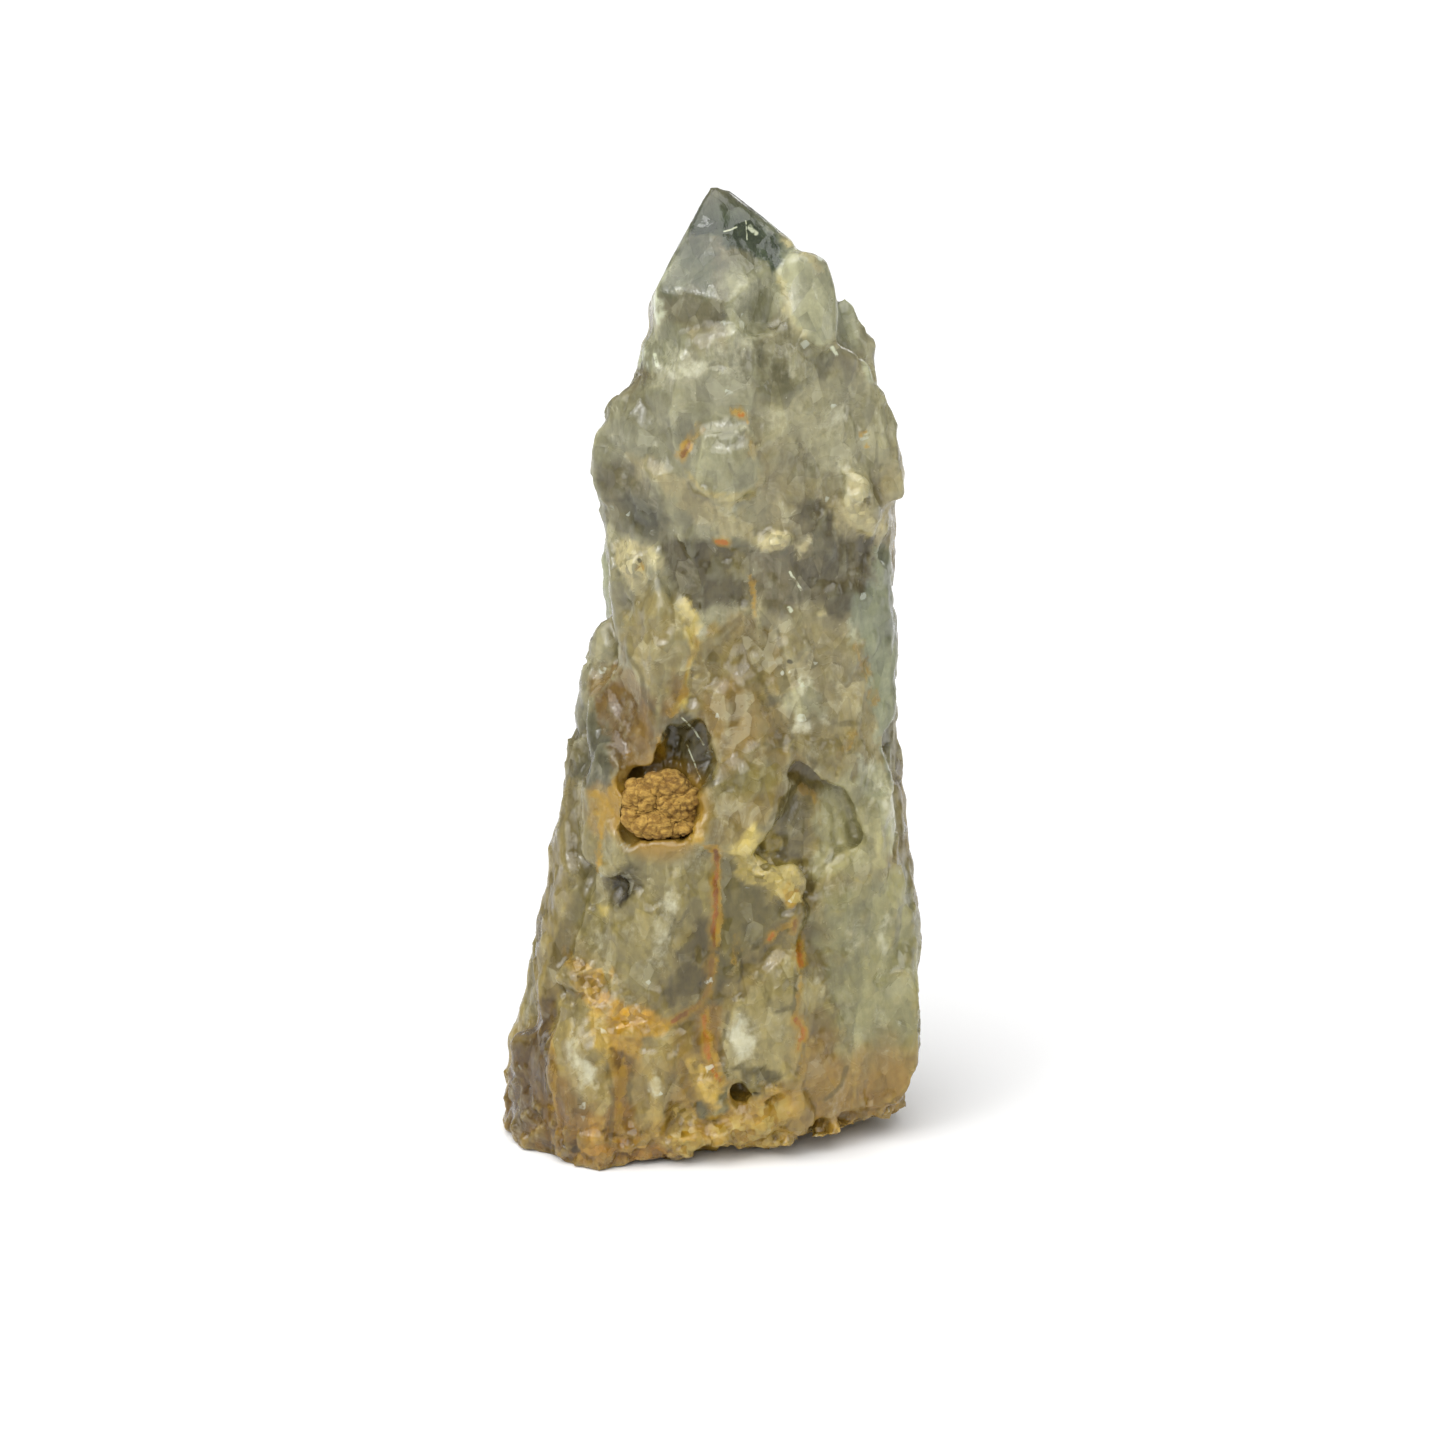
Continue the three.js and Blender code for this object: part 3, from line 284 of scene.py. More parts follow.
    ("moss", 0.9, 0.3, 0.35, [(0.9, 39), (3.4, 38.4), (3.6, 35.6), (9.5, 31.3), (7, 28.6), (3.2, 25.9),
        (0.7, 22.5)]),
    ("hollow", 0.8, 0.22, 0.2, [(4.3, 30.8), (5.2, 30.5), (5, 26.5), (4, 27.1)]),
    ("olive", 0.85, 0.25, 0.3, [(7, 28.7), (10.3, 29.6), (7.7, 26.6), (2.3, 22.5), (-0.1, 19.9),
        (0.5, 22.1), (3.2, 24.6)]),
    # the stout crystals of the bottom row, on a golden ground
    ("wheat", 0.6, 2, 0.1, [(-19, 20), (-9, 14), (0, 18), (1, 3), (-19, 2)]),
    ("sand", 0.92, 0.3, 0.15, [(2.2, 19.2), (5.8, 22.6), (9.4, 26.4), (10.1, 24.5), (9.9, 19.2),
        (11.2, 15.3), (10.3, 11.4), (7.6, 10), (4.9, 9.5), (2.2, 11), (1.1, 14.3)]),
    ("mauve", 0.85, 0.3, 0.2, [(6.3, 24.5), (9.5, 25.9), (10, 20.1), (7.7, 19.4), (5.7, 21.6)]),
    ("hollow", 0.95, 0.3, 0.1, [(2.1, 12.5), (5, 12.9), (8.2, 11.9), (7.7, 10), (4.5, 9.3)]),
    ("bronze", 0.9, 0.35, 0.1, [(-1.2, 20.1), (0.6, 20.2), (1, 16.4), (0.8, 13.5), (1.8, 10.6),
        (0.5, 11.4), (-1.1, 14.4)]),
    ("toffee", 0.6, 2.4, 0.1, [(10.3, 17.4), (15, 15.6), (16.7, 10.6), (13.9, 7.5), (10, 11.5)]),
    ("sand", 0.85, 0.25, 0.1, [(11.3, 23.6), (12.4, 23.6), (13.9, 19.7), (14.7, 18.1), (10.4, 19.1)]),
    ("sand", 0.5, 0.5, 0.1, [(-8.5, 14.9), (-5.7, 17.3), (-3.9, 15.9), (-4.4, 11.5), (-5.4, 7.4),
        (-8, 4.5), (-9.8, 9.3)]),
    ("sand", 0.65, 0.5, 0.15, [(-19.4, 19), (-17.5, 20.1), (-14.8, 19.2), (-12.8, 14.4), (-11.6, 9.4),
        (-12.6, 7.4), (-19, 7.4)]),
    ("gold", 0.9, 0.8, 0.1, [(-19.4, 8), (-11.6, 7.6), (-12, 2.6), (-14, 0), (-20, 0)]),
    ("amber", 0.9, 0.6, 0.15, [(-11.8, 15), (-10, 14.6), (-9.8, 9), (-8.4, 4), (-4, 2), (-4, 0), (-14, 0),
        (-12, 6)]),
    ("resin", 0.85, 1.2, 0.1, [(-15.2, 8), (-16.4, 0), (-26, 0), (-26, 14), (-18, 12)]),
    ("brown", 0.9, 0.8, 0.3, [(-19.4, 19), (-19.2, 10), (-22, 2), (-26, 2), (-26, 22)]),
    ("toffee", 0.8, 4, 0.1, [(16.4, 11), (21, 12.4), (27, 10.5), (26, 0), (12, 0), (11.2, 8.4),
        (14, 7.4)]),
    # ochre on the ledge above the bottom row, a cream corner, and the crumbs and crust of the foot
    ("wheat", 0.95, 0.35, 0, [(-18, 26), (-14.8, 24.5), (-12.6, 23.4), (-11.7, 21.1), (-8.5, 20),
        (-5.7, 19.5), (-4.6, 17.7), (-7.2, 16.2), (-9, 14.3), (-11.7, 14.3), (-13, 15.7), (-14.8, 19.1),
        (-16.6, 22)]),
    ("ochre", 0.7, 0.45, 0, [(-12.6, 21.6), (-8.5, 20), (-6, 19.2), (-7.6, 17.2), (-10.3, 17.2),
        (-12.1, 19.2)]),
    ("cream", 0.9, 0.3, 0, [(-14.8, 19.6), (-12.2, 18.3), (-11.6, 14.8), (-13, 14.3), (-14.3, 17.2)]),
    ("brown", 0.9, 0.25, 0.1, [(-12.1, 14.7), (-10, 14.8), (-10, 13.4), (-11.7, 13.2)]),
    ("loam", 0.85, 0.3, 0, [(0.9, 6.6), (2.4, 8.2), (6.4, 9), (10.3, 9.8), (11.6, 7.6), (9, 5), (10, 0),
        (-4, 0), (-4, 4.6), (-1.3, 5.2)]),
    ("cream", 0.85, 0.25, 0, [(-2.7, 13.4), (-1.2, 13.9), (-0.4, 11.5), (1.4, 10.4), (1.2, 8.1),
        (-0.4, 9.4), (-2, 8.5)]),
    ("cream", 0.85, 0.25, 0, [(-4.6, 7.6), (-2.7, 8.5), (-1.5, 6.7), (-2.1, 5.1), (-4.5, 6.1)]),
    ("slate", 0.9, 0.25, 0, [(-1.3, 9), (0.9, 7.6), (1.9, 9.5), (1.9, 6.7), (0.5, 5.6), (-1.3, 6.1)]),
]

# Milky clouds on the front: middle (x, z), half sizes, tilt and strength
CLOUDS = [
    (4.6, 105.4, 1.8, 2, 0, 0.5), (-2.6, 105, 2, 2.8, 0, 0.25), (11.4, 104.4, 1.6, 3.4, 0, 0.4),
    (-2.8, 97.2, 2.2, 1.3, 20, 0.65), (1.4, 99, 3.4, 2.6, 0, 0.35), (1.6, 95, 3, 2, 0, 0.3),
    (-4.6, 95.8, 1.4, 0.9, 30, 0.6), (3.8, 100.4, 1.6, 1.8, 0, 0.4), (11.8, 94.6, 1.6, 1.2, 40, 0.45),
    (7, 91.2, 2, 1.6, 0, 0.4), (14.6, 90.6, 2.6, 1.4, -20, 0.5), (9.6, 96.6, 1.6, 1, -10, 0.5),
    (-10.6, 87.6, 1.8, 1.2, 20, 0.45), (17.8, 88.4, 1, 1.8, 0, 0.45), (11.8, 86, 1, 1.4, 0, 0.4),
    (1.6, 86.2, 2.2, 2.4, 0, 0.15), (-7, 87.4, 1.8, 0.9, 30, 0.4), (11.2, 59.4, 1.1, 1.2, 0, 0.8),
    (10.6, 54.6, 0.9, 1.6, 0, 0.8), (13.8, 55.2, 1.6, 0.9, 20, 0.6), (14.8, 57.6, 1.8, 2.4, 0, 0.25),
    (21.2, 43.6, 0.9, 3.4, -24, 0.85), (18.4, 48.4, 1.6, 0.8, 20, 0.7), (15.6, 33.6, 2.2, 1.4, 0, 0.35),
    (21, 27, 1, 3.6, 0, 0.65), (17.4, 28, 1.2, 3.4, 0, 0.35), (-5.8, 28.6, 1.5, 4.2, 10, 0.5),
    (-4.6, 33.6, 1.6, 2.2, 20, 0.6), (-9.6, 28.6, 1.2, 2.4, 0, 0.35), (4.2, 16, 2.2, 3.2, -8, 0.85),
    (8.2, 16.6, 1.4, 1.8, 0, 0.35), (12.2, 21.4, 0.8, 1.8, 0, 0.5), (12.8, 14, 0.8, 3, 0, 0.4),
    (-15.4, 13, 1.5, 3.6, -10, 0.8), (-6.4, 11, 1, 2, -10, 0.75),
]

# Iron stains that follow cracks on the front: points (x, z) in mm
RUST_LINES = [
    [(0.7, 39.4), (0.8, 38.2), (0.6, 35.6), (0.7, 32.2), (0.3, 29.8), (0.4, 27.4)],
    [(0.1, 26), (0.1, 24.5), (-0.2, 22.3), (-1.3, 20.5), (-2.9, 19.3), (-4.5, 18.4)],
    [(-0.7, 19), (-0.7, 17.2), (-0.4, 14.4), (0.3, 12.2), (1.5, 10.3)],
    [(10.1, 30.6), (9.9, 29.1)],
    [(10.5, 27), (10.8, 24.6)],
    [(10.3, 18.2), (11.1, 16.7), (10.5, 14.4)],
    [(7, 28.2), (7.4, 28.8)],
    [(-3.3, 86.2), (-2.4, 87.8)],
    [(3.2, 91.4), (3.9, 91)],
    [(1.7, 76.2), (0.8, 76.3)],
]

# Yellow stains that follow joints on the front
OCHRE_LINES = [
    [(-1.2, 89.4), (-2.4, 88), (-3.2, 86.6)],
    [(2.8, 91.6), (4.3, 90.8), (4.4, 89.2), (4.9, 87)],
    [(4.7, 72), (5.2, 69), (5.2, 67.2)],
    [(-2.8, 68.9), (-1.6, 66.6), (-1.7, 64.4), (-2.3, 62.5), (-2.8, 60.3), (-3.2, 58), (-4.4, 55.8)],
    [(17.3, 63), (18.7, 59.6), (19.5, 55.9)],
    [(16.8, 52.4), (16.4, 51.3), (15.2, 50.6)],
    [(-5.8, 52.6), (-5.4, 49.8)],
    [(-10, 46), (-11.4, 47.4), (-12.8, 43), (-13.4, 36)],
    [(10.8, 45.5), (12.4, 44.4), (12.9, 42.6), (13.1, 41.5)],
    [(-3.4, 42), (-1.6, 41), (0.2, 39.8)],
    [(0.9, 38.6), (1, 31), (0.7, 24.6)],
    [(3.4, 28.9), (2.9, 25.4)],
    [(7.4, 28.4), (8.2, 29.5), (9.7, 30)],
    [(10.4, 30.2), (10.9, 24.6), (10.5, 18.8), (11.4, 16.8), (10.8, 12.6)],
    [(-0.4, 20), (-0.2, 15.4), (1.6, 11)],
    [(-10.3, 14.4), (-10.8, 9), (-10.9, 4.6)],
    [(-19.2, 18), (-19, 6)],
]

# Grooves where crystals of the front meet, darkened with painted shade
JOINTS = [
    [(4.8, 75.2), (4.8, 69.4)],
    [(9.9, 75), (10.6, 68)],
    [(7.6, 75), (7.6, 69.2)],
    [(15.4, 75.6), (15, 68.4)],
    [(5, 61.7), (6.1, 59.4), (8.1, 55.8), (10, 52.4)],
    [(7.9, 65.6), (8.8, 60.2)],
    [(-10.2, 62.5), (-8.3, 60.3), (-7.8, 57.5), (-6.4, 55.8)],
    [(-3.4, 58.2), (-4.8, 54.8), (-5.1, 50.8)],
    [(-1.6, 63), (-2.6, 59)],
    [(17.8, 53.9), (15.1, 54), (12.4, 55.7), (10.7, 54.7)],
    [(9.8, 51.8), (12.4, 49.6), (10.6, 46.5), (7, 43.3)],
    [(9.5, 31.2), (7, 28.6), (3.2, 25.8), (0.8, 22.6)],
    [(10.2, 24.5), (10, 19.2), (11.3, 15.3), (10.4, 11.4)],
    [(2.2, 19.2), (1.1, 14.3), (2.1, 11)],
    [(6.2, 22.4), (7.7, 19.4), (10, 20)],
    [(-8.8, 14.8), (-9.9, 9.3), (-8.2, 4.6)],
    [(-4, 15.6), (-4.4, 11.4), (-5.4, 7.4)],
    [(-13, 15.6), (-11.7, 9.4), (-12.1, 3)],
    [(16.5, 11), (15.8, 8.8), (13.9, 7.4)],
]

# Round patches of yellow ochre, and those that are broken into crumbs: (x, z, radius)
OCHRE_SPOTS = [
    (-2.8, 87, 0.6), (-8, 72, 0.9), (-12.2, 44.6, 2.2), (-1.6, 41.4, 1.2), (9.4, 34, 1.6), (2, 5.4, 2.4),
    (8, 6.4, 2.4), (18.2, 88.6, 0.6), (18.4, 86.8, 0.5),
]
CRUMBLY = [
    (-14.4, 22.4, 3), (-9.6, 19, 3), (6.4, 37.6, 2.8), (9.6, 34.2, 2.6), (-0.8, 11.6, 2), (6.6, 7.6, 3.6),
    (-3.2, 6.8, 2.2), (-2.4, 42.4, 1.8), (17.6, 80.4, 2.2), (7.6, 76.4, 1.6), (-8.6, 72.6, 2),
    (3.6, 4.6, 3.4),
]

# Bright streaks, where a crack inside catches the light: ends (x, z) and half width
GLEAMS = [
    ((1.6, 111.5), (3.1, 111.9), 0.08), ((4.6, 111.9), (5.3, 111.2), 0.26),
    ((4.1, 112.6), (4.3, 110.6), 0.06), ((9.3, 72.5), (10.6, 70.3), 0.14),
    ((-3.3, 55.2), (-0.8, 51.3), 0.1), ((-2.8, 51.2), (-1.1, 47.2), 0.08),
    ((14, 98.6), (14.6, 97.7), 0.2), ((-6.4, 97.4), (-6.2, 96.2), 0.2), ((10.5, 59.5), (10.8, 59.2), 0.3),
    ((9.2, 68.2), (9.5, 67.8), 0.22),
]

# Dark specks: ends (x, z) and half width
SPECKS = [
    ((9.3, 62), (9.5, 61.95), 0.24), ((-1.4, 52), (-1.3, 51.9), 0.16), ((-8.4, 73.4), (-8.3, 73.2), 0.2),
    ((-16.4, 2.2), (-16.1, 2.3), 0.4),
]

# What the mesh keeps at each point for the material: shares from 0 to 1, and distances in mm to lines
LAYERS = ("clear", "cloud", "crumbly", "ochre", "hollow", "rim", "plate", "pocket")
# Lines kept as distances on the mesh: rust seams and ochre veins are stains, and the joints carry painted
# shade
STAIN_AND_SHADE_LINES = {"seam": RUST_LINES, "vein": OCHRE_LINES, "joint": JOINTS}


class QuartzSettings(bpy.types.PropertyGroup):
    """Sizes and optics of the quartz."""

    grid: FloatProperty(name="Grid", description="Distance between the fine mesh's points",
                        default=0.00045, min=0.0002, unit="LENGTH")
    wear: IntProperty(name="Wear", description="Rounds of smoothing that dull the body's edges", default=1)
    seal: FloatProperty(name="Seal", description="Slits up to twice as wide as this are filled",
                        default=0.00024, unit="LENGTH")
    swell: FloatProperty(name="Swell", description="Depth of the soft hollows and swellings of the faces",
                         default=0.00012, unit="LENGTH")
    facets: FloatProperty(name="Facets", description="Height of the small crystal faces on the body",
                          default=0.00085, unit="LENGTH")
    plates: FloatProperty(name="Plates", description="Height of the tilted, chipped plates on the faces",
                          default=0.00030, unit="LENGTH")
    grit: FloatProperty(name="Grit", description="Depth of the crumbs in the stained foot",
                        default=0.0011, unit="LENGTH")
    striae: FloatProperty(name="Striae", description="Depth of the growth lines on the faces",
                          default=0.00010, unit="LENGTH")
    ior: FloatProperty(name="IOR", description="Refractive index of quartz", default=1.544, min=1.0)
    absorption: FloatProperty(name="Absorption", description="How fast the smoky tint deepens with thickness",
                              default=48.0)
    smoke: FloatVectorProperty(name="Smoky tint", description="Colour that light takes inside the quartz",
                               default=(0.64, 0.66, 0.44), subtype="COLOR", size=3)
    strength: FloatVectorProperty(name="Colour strength", description="Share of a tone that is sent back",
                                  default=(0.74, 0.72, 0.60), subtype="COLOR", size=3)
    cloud: FloatVectorProperty(name="Cloud", description="Colour of the milky clouds",
                               default=tone(224, 224, 210), subtype="COLOR", size=3)
    ochre: FloatVectorProperty(name="Ochre", description="Colour of the yellow stain",
                               default=tone(196, 154, 14), subtype="COLOR", size=3)
    rust: FloatVectorProperty(name="Rust", description="Colour of the iron stain in cracks",
                              default=tone(156, 88, 4), subtype="COLOR", size=3)


class ClaySettings(bpy.types.PropertyGroup):
    """Sizes and colours of the clay plug."""

    grid: FloatProperty(name="Grid", description="Distance between the fine mesh's points",
                        default=0.00016, min=0.0001, unit="LENGTH")
    crumb: FloatProperty(name="Crumb", description="Depth of the crumbs and layers",
                         default=0.00035, unit="LENGTH")
    bind: FloatProperty(name="Bind", description="Grooves up to twice as wide as this are filled",
                        default=0.0008, unit="LENGTH")
    fill: FloatProperty(name="Fill", description="How far the clay swells to meet its pocket", default=0.0008,
                        unit="LENGTH")
    pale: FloatVectorProperty(name="Dry clay", description="Colour of the clay's dry crumbs",
                              default=tone(174, 138, 64), subtype="COLOR", size=3)
    deep: FloatVectorProperty(name="Damp clay", description="Colour between the crumbs",
                              default=tone(122, 88, 28), subtype="COLOR", size=3)


class StudioSettings(bpy.types.PropertyGroup):
    """The floor, the lights and the view."""

    floor: FloatVectorProperty(name="Floor", description="Colour of the floor", default=(0.86, 0.86, 0.86),
                               subtype="COLOR", size=3)
    distance: FloatProperty(name="Distance", description="From the camera to its aim",
                            default=0.45, unit="LENGTH")
    elevation: FloatProperty(name="Elevation", description="Of the camera above the horizon",
                             default=math.radians(15), subtype="ANGLE")
    lens: FloatProperty(name="Lens", description="Focal length in mm on a 36 mm sensor", default=93.05)
    key: FloatProperty(name="Key light", description="Strength of the broad main light", default=3.15)
    spread: FloatProperty(name="Key spread", description="How wide the main light looks from the floor",
                          default=math.radians(76), subtype="ANGLE")
    glint: FloatProperty(name="Glint lights", description="Power of the small lights, in watts", default=0.5)
    sky: FloatProperty(name="Sky", description="Strength of the light from all round", default=0.54)


def smoothstep(low, high, value):
    t = np.clip((value - low) / (high - low), 0.0, 1.0)
    return t * t * (3.0 - 2.0 * t)


def field(points, size, seed, octaves=4, stretch=1.0):
    """Soft noise from about -1 to 1: size is its longest wave in metres, stretch how much taller it is."""
    scaled = points / np.array([size, size, size * stretch]) + seed * 7.31
    basis = "PERLIN_ORIGINAL"
    return np.array([noise.fractal(p, 0.9, 2.1, octaves, noise_basis=basis) for p in scaled.tolist()])


def crumbs(points, size, seed, metric="DISTANCE"):
    """Distance to the middle of the nearest crumb, and to its edge, both as shares of a crumb's size."""
    scaled = points / size + seed * 3.17
    near = np.array([noise.voronoi(p, distance_metric=metric)[0][:2] for p in scaled.tolist()])
    return near[:, 0], near[:, 1] - near[:, 0]


def scatter(values):
    """A number from 0 to 1 for each value, with no order in it."""
    return np.modf(np.abs(np.sin(values) * 43758.5453))[0]


def facets(points, size, seed, stretch=1.0):
    """Flat faces that meet in sharp ridges, without steps: from about -0.5 to 0.5."""
    turned = points @ np.array(Euler((0.5, 0.35, 0.8 + seed)).to_matrix()).T
    scaled = turned / size + seed * 2.71
    scaled[:, 2] /= stretch
    near = np.array([noise.voronoi(p, distance_metric="MANHATTAN")[0][0] for p in scaled.tolist()])
    return 0.62 - near


def plates(points, size, seed, stretch=1.0):
    """Flat cells, each tilted its own way: the height of the plane at each point, in cell sizes."""
    scaled = points / np.array([size, size, size * stretch]) + seed * 5.3
    middles = np.array([tuple(noise.voronoi(p)[1][0]) for p in scaled.tolist()])
    key = middles @ np.array([[12.9, 78.2, 37.7], [39.3, 11.1, 83.1], [73.1, 52.2, 9.2]])
    tilt = scatter(key) * 2.0 - 1.0
    return ((scaled - middles) * tilt).sum(axis=1)


def distance(x, z, line):
    """Distance in mm to a line of (x, z) points in mm."""
    best = np.full(len(x), FAR)
    for (ax, az), (bx, bz) in zip(line[:-1], line[1:]):
        start = np.array([ax, az])
        step = np.array([bx - ax, bz - az])
        across, along = x / MM - start[0], z / MM - start[1]
        share = np.clip((across * step[0] + along * step[1]) / (step @ step), 0.0, 1.0)
        best = np.minimum(best, np.hypot(across - share * step[0], along - share * step[1]))
    return best


def nearest_line(x, z, lines):
    return np.minimum.reduce([distance(x, z, line) for line in lines])


def reach(x, z, patch):
    """Distance from the middle of an oval (x, z, half width, half height, tilt), 1 at its edge."""
    middle_x, middle_z, half_x, half_z, tilt = patch[:5]
    turn = math.radians(tilt)
    dx, dz = x / MM - middle_x, z / MM - middle_z
    across = (dx * math.cos(turn) - dz * math.sin(turn)) / half_x
    along = (dx * math.sin(turn) + dz * math.cos(turn)) / half_z
    return np.sqrt(across**2 + along**2)


def oval(x, z, patch):
    """Share of an oval patch at each point: 1 in the middle, about a third at its edge, fading outwards."""
    return np.exp(-1.1 * reach(x, z, patch) ** 3)


def inside(x, z, outline, soft):
    """Share of an outlined area at each point: 1 inside, 0 outside, with an edge this soft in mm."""
    across, up = x / MM, z / MM
    within = np.zeros(len(x), bool)
    for (ax, az), (bx, bz) in zip(outline, outline[1:] + outline[:1]):
        spans = (az > up) != (bz > up)
        within ^= spans & (across < ax + (up - az) * (bx - ax) / ((bz - az) or 1.0))
    edge = distance(x, z, outline + outline[:1])
    return smoothstep(-soft, soft, np.where(within, edge, -edge))


def spots(x, z, places):
    """Share of round patches, each (x, z, radius)."""
    return np.maximum.reduce([oval(x, z, (cx, cz, radius, radius, 0)) for cx, cz, radius in places])


def coordinates(mesh, kind="co"):
    flat = np.empty(len(mesh.vertices) * 3)
    mesh.vertices.foreach_get(kind, flat)
    return flat.reshape(-1, 3)


def normals(mesh):
    return coordinates(mesh, "normal")


def move(mesh, points):
    mesh.vertices.foreach_set("co", points.astype(np.float32).ravel())
    mesh.update()


def averager(mesh):
    """A function that gives, for values at the mesh's points, the mean over each point's neighbours."""
    pairs = np.empty(len(mesh.edges) * 2, int)
    mesh.edges.foreach_get("vertices", pairs)
    a, b = pairs.reshape(-1, 2).T
    count = len(mesh.vertices)
    ties = np.bincount(a, minlength=count) + np.bincount(b, minlength=count)

    def average(values):
        columns = values.reshape(count, -1)
        total = [np.bincount(a, c[b], count) + np.bincount(b, c[a], count) for c in columns.T]
        return (np.array(total) / np.maximum(ties, 1)).T.reshape(values.shape)
    return average


def face_numbers(node_name, points):
    """A number from 0 to 1 at each point, one for each flat face of a CAD node."""
    source = bmesh.new()
    source.from_mesh(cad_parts[node_name].data)
    tree = BVHTree.FromBMesh(source)
    planes = np.array([(*face.normal, face.normal.dot(face.verts[0].co) / (8 * MM)) for face in source.faces])
    source.free()
    nearest = [tree.find_nearest(p)[2] for p in points.tolist()]
    return scatter(np.round(planes * 12) @ np.array([12.9, 78.2, 37.7, 4.6]))[nearest]


def even_mesh(mesh, grid):
    """The same shape on an even fine grid."""
    source = bpy.data.objects.new("source", mesh)
    bpy.context.scene.collection.objects.link(source)
    even = source.modifiers.new("Even grid", "REMESH")
    even.mode = "VOXEL"
    even.voxel_size = grid
    bpy.context.view_layer.update()
    fine = bpy.data.meshes.new_from_object(source.evaluated_get(bpy.context.evaluated_depsgraph_get()))
    bpy.data.objects.remove(source)
    return fine


def crispness(points):
    """1 on the clear upper crystals, whose edges stay sharp, 0 below."""
    return smoothstep(*SHARP_EDGES, points[:, 2] / MM)


def remeshed(node_name, piece_name, grid, seal=0.0):
    """A copy of a CAD node as an even fine mesh, at the origin, with its narrow slits sealed."""
    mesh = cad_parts[node_name].data.copy()
    mesh.materials.clear()
    merged = bmesh.new()
    merged.from_mesh(mesh)
    bmesh.ops.remove_doubles(merged, verts=merged.verts, dist=1e-6)
    merged.to_mesh(mesh)
    merged.free()
    fine = even_mesh(mesh, grid)
    if seal:
        for step in (seal, -seal):
            points = coordinates(fine)
            move(fine, points + normals(fine) * step * (1 - crispness(points))[:, None])
            fine = even_mesh(fine, grid)
    fine.name = piece_name
    piece = bpy.data.objects.new(piece_name, fine)
    bpy.context.scene.collection.objects.link(piece)
    fine.shade_smooth()
    return piece


def store(mesh, name, values):
    """Keeps one number per point on the mesh, for the material."""
    layer = mesh.attributes.new(name, "FLOAT", "POINT")
    layer.data.foreach_set("value", values.astype(np.float32))


def store_colour(mesh, name, values):
    layer = mesh.color_attributes.new(name, "FLOAT_COLOR", "POINT")
    full = np.concatenate([values, np.ones((len(values), 1))], axis=1)
    layer.data.foreach_set("color", full.astype(np.float32).ravel())


def put(place, kind, inputs=None, **settings):
    """Adds a node to a tree, or to a socket's tree. Inputs are values or sockets, by name or number."""
    tree = place.id_data
    node = tree.nodes.new(kind)
    for key, value in settings.items():
        setattr(node, key, value)
    for key, value in (inputs or {}).items():
        if isinstance(value, bpy.types.NodeSocket):
            tree.links.new(value, node.inputs[key])
        else:
            node.inputs[key].default_value = value
    return node


def socket_of(*values):
    """The first socket among some values."""
    return next(value for value in values if isinstance(value, bpy.types.NodeSocket))


def math_node(operation, first, second=0.0, clamp=False):
    node = put(socket_of(first, second), "ShaderNodeMath", {0: first, 1: second}, operation=operation)
    node.use_clamp = clamp
    return node.outputs[0]


def times(first, second, clamp=False):
    return math_node("MULTIPLY", first, second, clamp)


def plus(first, second, clamp=False):
    return math_node("ADD", first, second, clamp)


def highest(first, second):
    return math_node("MAXIMUM", first, second)


def swing(value, reach_each_way):
    """Noise of 0 to 1 as a number that swings round 0."""
    return times(math_node("SUBTRACT", value, 0.5), reach_each_way * 2.0)


def rest_of(value):
    return math_node("SUBTRACT", 1.0, value)


def ramp(value, low, high, out_low=0.0, out_high=1.0):
    """A smooth step of a value between two limits."""
    inputs = {"Value": value, "From Min": low, "From Max": high, "To Min": out_low, "To Max": out_high}
    return put(value, "ShaderNodeMapRange", inputs, interpolation_type="SMOOTHSTEP").outputs[0]


def mixed(share, first, second, blend="MIX"):
    """Two colours mixed by a share."""
    inputs = {0: share}
    for slot, colour in ((6, first), (7, second)):
        inputs[slot] = colour if isinstance(colour, bpy.types.NodeSocket) else (*colour, 1.0)
    place = socket_of(share, first, second)
    return put(place, "ShaderNodeMix", inputs, data_type="RGBA", blend_type=blend).outputs[2]


def darker(colour, share):
    return tuple(c * share for c in colour)


def scaled(colour, factor):
    """A colour times a number."""
    grey = put(factor, "ShaderNodeCombineColor", {0: factor, 1: factor, 2: factor}).outputs[0]
    return mixed(1.0, colour, grey, "MULTIPLY")


def object_place(tree, stretch=(1.0, 1.0, 1.0), lean=0.0):
    place = put(tree, "ShaderNodeTexCoord").outputs["Object"]
    if lean:
        place = put(tree, "ShaderNodeMapping", {"Vector": place, "Rotation": (0.0, lean, 0.0)}).outputs[0]
    return put(tree, "ShaderNodeMapping", {"Vector": place, "Scale": stretch}).outputs[0]


def object_noise(tree, scale, detail=4.0, roughness=0.55, stretch=(1.0, 1.0, 1.0), distortion=0.0, lean=0.0):
    """Noise on the piece's own coordinates; scale is in waves per metre, lean the slope of its waves."""
    place = object_place(tree, stretch, lean)
    return put(tree, "ShaderNodeTexNoise", {"Vector": place, "Scale": scale, "Detail": detail,
                                            "Roughness": roughness, "Distortion": distortion}).outputs[0]


def vector(operation, first, second):
    """The vector, or for a dot product or a distance the number, that two vectors give."""
    node = put(socket_of(first, second), "ShaderNodeVectorMath", {0: first, 1: second}, operation=operation)
    return node.outputs["Value" if operation in ("DOT_PRODUCT", "DISTANCE") else "Vector"]


